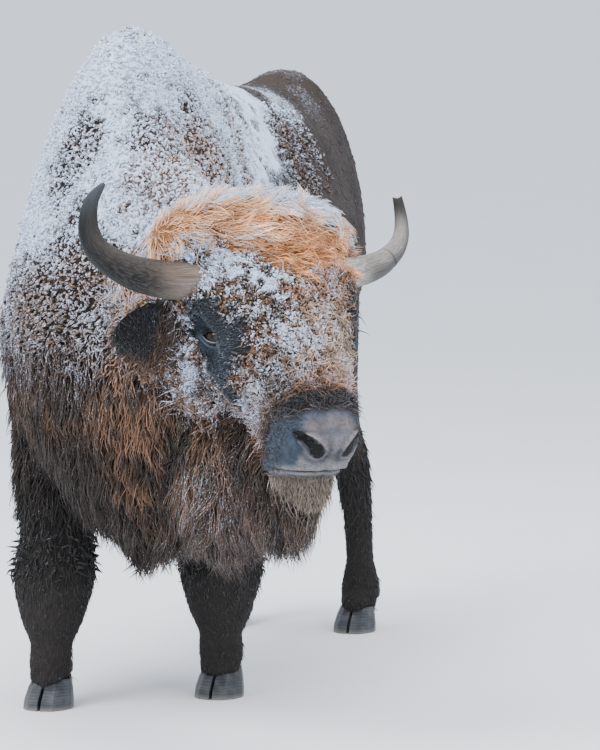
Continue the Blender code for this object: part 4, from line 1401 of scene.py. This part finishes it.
def floor_material():
    """Plain pale studio floor."""
    p = Paint("floor", Specular_IOR_Level=0.2)
    fine = p.noise(p.place(), 3.0, 4.0)
    colour = p.blend(fine, (0.86, 0.88, 0.91, 1.0), (0.91, 0.92, 0.94, 1.0))
    return p.finish(colour, p.span(fine, 0, 1, 0.8, 0.9))


# ---- skin colours
def layered(colour, *layers):
    """A colour with others laid over it, each by its share."""
    for tone, share in layers:
        colour = mix(colour, tone, share)
    return colour


def paint_skin(skin):
    """Gives the skin the coat's markings with painted shade under the thick coat, and the bare parts their
    tones with painted light and shade on the muzzle.
    """
    r = Regions(coordinates(skin.data))
    deep, tip, snow = coat_colours(r)
    hairy = np.clip(r.short + r.low_leg + r.belly, 0, 1)
    # Under thick coat the skin takes the root colour darkened further: painted shade in the gaps between
    # tufts.
    colour = mix(deep * (0.72 + 0.28 * hairy)[:, None], tip, 0.05 + 0.63 * hairy)
    snow = snow * np.clip(0.35 + 0.45 * hairy + 0.65 * ramp(snow, 0.62, 0.92), 0, 1)
    side, reach, up = r.side, -r.v, r.w
    bare = r.muzzle * (1 - 0.85 * r.chin)
    broad = mottle(r.points, 0.03, 21)
    # A painted highlight on the top of the muzzle, over the nostrils.
    above = bell(reach, 0.470, 0.022) * ramp(up, -0.005, 0.02) * ramp(0.085 - side, 0, 0.03)
    pad = ramp(reach, 0.488, 0.506) * ramp(up, -0.100, -0.088) * ramp(0.076 - side, 0, 0.012)
    lip, mouth = above_mouth(reach, up), ramp(reach, 0.40, 0.43)
    muzzle = layered(
        SLATE * (1.28, 1.27, 1.30) * (0.75 + 0.6 * broad[:, None]),
        (SLATE * 0.55, ramp(0.445 - reach, 0, 0.03) * ramp(up, -0.02, 0.02)),
        ((0.145, 0.125, 0.128), above * 0.85 * (0.4 + broad)),
        (NOSE_GREY * (0.6 + 0.9 * broad[:, None]), pad),
        ((0.26, 0.245, 0.24), bell(lip, 0, 0.016) * mouth * 0.75),
        # Painted shade in the parting of the lips.
        ((0.012, 0.010, 0.010), bell(lip, 0, 0.0042) * mouth),
    )
    wet = pad * 0.6
    for hand in (-1, 1):
        nose = np.flatnonzero((r.u * hand > 0) & (reach > 0.40) & (r.muzzle > 0.2))
        local = r.local[nose]
        centres, radii, inward = nostril(hand, 16)
        near = (np.linalg.norm(local[:, None] - centres[None], axis=2) / radii[None]).min(1)
        deeper = local @ inward - (centres @ inward).mean()
        # Black painted shade fills the nostril's pit, the more the deeper inside.
        pit_shade = (1 - ramp(near, 1.02, 1.28)) + ramp(deeper, 0.006, 0.014) * (1 - ramp(near, 1.3, 2.6))
        over = ramp(local[:, 2] + 0.22 * np.abs(local[:, 0]) - 0.004, -0.012, 0.010)
        rim = bell(near, 1.50, 0.32) * over
        # Painted shade under the nostril, a painted highlight on the rim over it, and the painted black
        # shade of the pit.
        muzzle[nose] = layered(
            muzzle[nose],
            (SLATE * 0.5, bell(near, 1.9, 0.7) * (1 - over) * 0.7),
            ((0.25, 0.215, 0.22), rim * 0.80),
            ((0.003, 0.003, 0.003), np.clip(pit_shade, 0, 1)),
        )
        wet[nose] = np.clip(np.maximum(wet[nose], rim * 0.6) - 2 * pit_shade, -1, 1)
    colour = mix(colour, muzzle, bare)
    leather = bare.copy()
    for hand in (-1, 1):
        centre, nose, upward, out = eye_axes(hand)
        local = r.local - centre
        a, b, c = local @ nose, local @ upward, local @ out
        turn, from_eye = np.arctan2(b, a), np.hypot(a, b)
        close = (from_eye < 0.06) & (c > -0.02) & (c < 0.06)
        past = from_eye - lid_edge(turn)
        rim = bell(past, 0.0012, 0.0022) * close
        lower = ramp(-np.sin(turn), -0.2, 0.3)
        colour = layered(
            colour,
            ((0.012, 0.012, 0.014), bell(past, 0, 0.0075) * close * 0.9),
            ((0.20, 0.22, 0.25), rim * lower * 0.85),
            ((0.085, 0.10, 0.12), bell(past, 0.014, 0.004) * close * lower * 0.6),
        )
        leather = np.maximum(leather, close * (1 - ramp(past, 0.010, 0.020)))
        wet = np.maximum(wet, rim)
    write_colours(skin.data, "Coat", np.column_stack((colour, snow * (1 - bare))))
    along_legs = np.clip(r.low_leg + r.head + r.fore * ramp(1.0 - r.z, 0, 0.2), 0, 1)
    write_colours(skin.data, "Bare", np.column_stack((leather, pad * bare, wet, along_legs)))


# ---- horns, eyes and hooves
HORN_ROWS = [
    # sideways, back, up, radius
    (0.115, -0.014, 0.012, 0.0460),
    (0.145, -0.012, 0.008, 0.0465),
    (0.195, -0.007, 0.001, 0.0460),
    (0.245, 0.000, -0.004, 0.0450),
    (0.295, 0.014, -0.006, 0.0430),
    (0.336, 0.034, -0.008, 0.0395),
    (0.378, 0.066, -0.007, 0.0340),
    (0.404, 0.100, -0.002, 0.0295),
    (0.415, 0.136, 0.009, 0.0260),
    (0.414, 0.172, 0.030, 0.0220),
    (0.404, 0.200, 0.056, 0.0166),
    (0.387, 0.215, 0.081, 0.0096),
    (0.376, 0.221, 0.092, 0.0038),
]


# The outer side of the bend carries painted shade as well as the horn's own darker tone.
HORN_TONES = {  # root, outer side of the bend, its inner side, and end, of the sound and the worn horn
    False: ((0.180, 0.145, 0.125), (0.0030, 0.0046, 0.0064), (0.024, 0.0215, 0.019), (0.045, 0.052, 0.060)),
    True: ((0.56, 0.53, 0.52), (0.050, 0.054, 0.060), (0.235, 0.215, 0.200), (0.034, 0.031, 0.030)),
}


def with_ends(rings):
    """One row for each vertex of a loft: its rings, and one for the middle of each end."""
    return np.vstack((*rings, rings[0][0], rings[-1][0]))


def horn_piece(hand, material):
    """A horn with lengthwise ridges; the left one is cracked and ends in a frayed stump."""
    worn = hand > 0
    rows = eased(HORN_ROWS, 115 if worn else 90)[:90]
    if worn:
        rows[:, 3] *= 0.92 - 0.34 * np.linspace(0, 1, 90)
    centre = rows[:, :3] * (hand, 1, 1)
    way = unit(np.gradient(centre, axis=0))
    length = np.concatenate(([0], np.cumsum(np.linalg.norm(np.diff(centre, axis=0), axis=1))))
    turns = turns_of(48)
    c, s = np.cos(turns), np.sin(turns)
    root, bend, pale, end = HORN_TONES[worn]
    side = unit(np.cross(way[0], (0.0, 1.0, 0.0)))
    rings, grain, tint = [], [], []
    for i, (middle_point, radius) in enumerate(zip(centre, rows[:, 3])):
        side = unit(side - way[i] * side.dot(way[i]))
        spoke = np.outer(c, side) + np.outer(s, np.cross(way[i], side))
        t = length[i] / length[-1]
        key = np.stack((c * 1.6, s * 1.6, np.full(len(c), t * 2.2)), 1)
        swell = 0.020 * (mottle(key, 0.42, 31 + hand) - 0.5) + 0.024 * (mottle(key, 0.16, 33 + hand) - 0.5)
        rings_of_age = 0.008 * math.sin(length[i] * 260.0) * (1 - t) ** 2
        ring = middle_point + spoke * (radius * (1 + swell + rings_of_age))[:, None]
        crack = bell(t, 0.56, 0.006) * ramp(np.sin(turns + 0.8), -0.2, 0.5) * worn
        if worn:
            ring -= spoke * (0.0035 * crack)[:, None]
            frayed = ramp(t, 0.90, 1.0) * 0.018 * (mottle(key * 3.0, 0.42, 35) - 0.4)
            ring += way[i] * frayed[:, None]
        rings.append(ring)
        grain.append(key)
        # The outer curve, away from the head and below, is darker and bluer: the horn's own darker tone with
        # painted shade on the side facing down.
        outer = ramp(spoke @ unit(np.array((hand * 0.6, -0.75, -0.5))), -0.3, 0.7)
        tone = mix(root, mix(pale, bend, outer * ramp(t, 0.22, 0.45)), ramp(t, 0.15, 0.40))
        rust = bell(t, 0.20, 0.10) * (1 - outer) * 0.6
        tone = layered(
            tone,
            (end, ramp(t, 0.78, 0.97)),
            ((0.16, 0.075, 0.035), rust * ramp(mottle(key, 0.35, 37), 0.4, 0.6)),
            ((0.02, 0.018, 0.016), 0.8 * crack),
        )
        marbled = 0.65 * (1 - t) ** (0.5 if worn else 1.5)
        tint.append(np.column_stack((tone, np.full(len(c), marbled))))
    points, faces = loft(rings)
    name = "horn_sheath_left" if worn else "horn_sheath_right"
    obj = closed_piece(name, from_head(points), faces)
    obj.data.materials.append(material)
    obj.data.shade_smooth()
    write_colours(obj.data, "Tint", with_ends(tint))
    write_vectors(obj.data, "Grain", with_ends(grain))
    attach(obj, "root")
    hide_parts("horn_left" if worn else "horn_right")
    return obj


def eye_piece(hand, material):
    """An eyeball with a raised cornea, looking out of its socket."""
    centre, nose, up, out = eye_axes(hand)
    points, faces = egg((0, 0, 0), (1, 1, 1), sides=72, rows=54)
    angle = np.arccos(np.clip(points[:, 2] / np.linalg.norm(points, axis=1), -1, 1))
    radius = EYE_RADIUS - 0.0012 + 0.0012 * ramp(0.62 - angle, 0.0, 0.5)
    shape = unit(points) * radius[:, None]
    name = "eyeball_left" if hand > 0 else "eyeball_right"
    obj = closed_piece(name, from_head(shape @ np.stack((nose, up, out), 1).T + centre), faces)
    obj.data.materials.append(material)
    obj.data.shade_smooth()
    pupil = 1 - ramp(np.hypot(shape[:, 0] / 0.0062, shape[:, 1] / 0.0036), 0.85, 1.15)
    # The dark ball with its brown iris, the ring round that, and the level pupil.
    tone = layered(
        mix((0.016, 0.012, 0.011), (0.014, 0.007, 0.004), 1 - ramp(angle, 0.62, 0.68)),
        ((0.010, 0.007, 0.006), bell(angle, 0.64, 0.05)),
        ((0.003, 0.003, 0.004), pupil),
    )
    write_colours(obj.data, "Tint", np.column_stack((tone, np.ones(len(points)))))
    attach(obj, "root")
    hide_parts("eye_left" if hand > 0 else "eye_right")
    return obj


def dress_hooves(material):
    """The solid hooves and dewclaws stay, with rounded edges and a hoof's own finish."""
    for name, node in frame["nodes"].items():
        if name.startswith(("hoof", "dewclaw")):
            node.data.materials.clear()
            node.data.materials.append(material)
            edge = node.modifiers.new("edge", "BEVEL")
            edge.width = 0.003
            edge.segments = 2
            edge.limit_method = "ANGLE"
            edge.angle_limit = math.radians(30)


# ---- studio
LAMPS = (  # name, place from the floor below the withers, size, power
    ("key", (-2.5, -5.0, 6.5), 5.0, 640.0),
    ("fill", (5.0, -4.0, 3.5), 4.0, 190.0),
    ("top", (0.0, 1.0, 6.0), 4.0, 240.0),
)
LAMPS_MEET = Vector((0.1, 0.1, 1.0))


def look_along(obj, place, way):
    """Puts a lamp or a camera at a place, looking along a way."""
    obj.location = place
    obj.rotation_mode = "QUATERNION"
    obj.rotation_quaternion = way.to_track_quat("-Z", "Y")


def set_stage():
    """Pale floor, soft light from above, and the camera in front and to the bull's left."""
    scene = bpy.context.scene
    home = Vector(HOME)
    points = [(-90, -60, 0), (90, -60, 0), (90, 140, 0), (-90, 140, 0)]
    floor = object_from("floor", points, [(0, 1, 2, 3)], floor_material())
    world = bpy.data.worlds.new("studio")
    world.use_nodes = True
    back = world.node_tree.nodes["Background"]
    back.inputs["Color"].default_value = (0.80, 0.87, 0.97, 1.0)
    back.inputs["Strength"].default_value = 1.50
    scene.world = world
    for name, place, size, power in LAMPS:
        light = bpy.data.lights.new(name, "AREA")
        light.shape, light.size, light.energy = "DISK", size, power
        place = home + Vector(place)
        look_along(put(name, light), place, home + LAMPS_MEET - place)
    lens = bpy.data.cameras.new("camera")
    lens.lens, lens.sensor_width = CAMERA_LENS, 36.0
    lens.clip_start, lens.clip_end = 0.1, 500.0
    scene.camera = put("camera", lens)
    flat = math.cos(CAMERA_TILT)
    look = Vector((-math.sin(CAMERA_TURN) * flat, math.cos(CAMERA_TURN) * flat, -math.sin(CAMERA_TILT)))
    look_along(scene.camera, home + CAMERA_PLACE, look)


# ---- the bison
def frizzy(r):
    """Where wisps stand over the curls: down the nose, on the jaw and on the left of the face."""
    return r.face * (ramp(-r.v, 0.20, 0.36) + 0.5 * ramp(-r.w, 0.1, 0.2) + 0.30 * ramp(r.u, -0.07, 0.03))


def downy(r):
    """Where the fine hair of the muzzle, the chin and the patch round the eye stands."""
    on_patch = r.patch * 1.3 * (1 - 0.6 * r.by_eye)
    return on_patch + r.muzzle * (0.40 + 1.8 * r.chin) + 1.5 * r.fuzz


COATS = (  # name, number of tufts, their style, and where they stand
    ("face", 24800, face_style, lambda r: r.face + 0.30 * r.verge),
    ("wisp", 6200, wisp_style, frizzy),
    ("poll", 6300, poll_style, lambda r: r.poll),
    ("wool", 36000, wool_style, lambda r: r.wool),
    ("long", 18500, long_style, lambda r: r.long * (1 + 1.2 * r.beard)),
    ("short", 7500, short_style, lambda r: r.short + 1.4 * r.belly),
    ("leg", 8200, leg_style, lambda r: r.low_leg),
    ("fine", 8500, fine_style, downy),
    ("ear", 2200, ear_style, lambda r: 1.3 * r.ear + 0.8 * r.by_ear),
    ("tail", 1300, tail_style, lambda r: r.tail),
)


def build():
    """Everything that is seen."""
    set_stage()
    skin = build_skin()
    paint_skin(skin)
    skin.data.materials.clear()
    skin.data.materials.append(skin_material())
    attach(skin, "root")
    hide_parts(*[n for n in frame["nodes"] if n.startswith(FLESH)])
    surface = Surface(skin)
    hair = coat_material()
    for name, count, style_of, share_of in COATS:
        grow(name, surface, share_of, count, style_of, hair, sides=name != "tail")
    horn, eye = horn_material(), eye_material()
    for hand in (-1, 1):
        horn_piece(hand, horn)
        eye_piece(hand, eye)
    dress_hooves(hoof_material())


build()
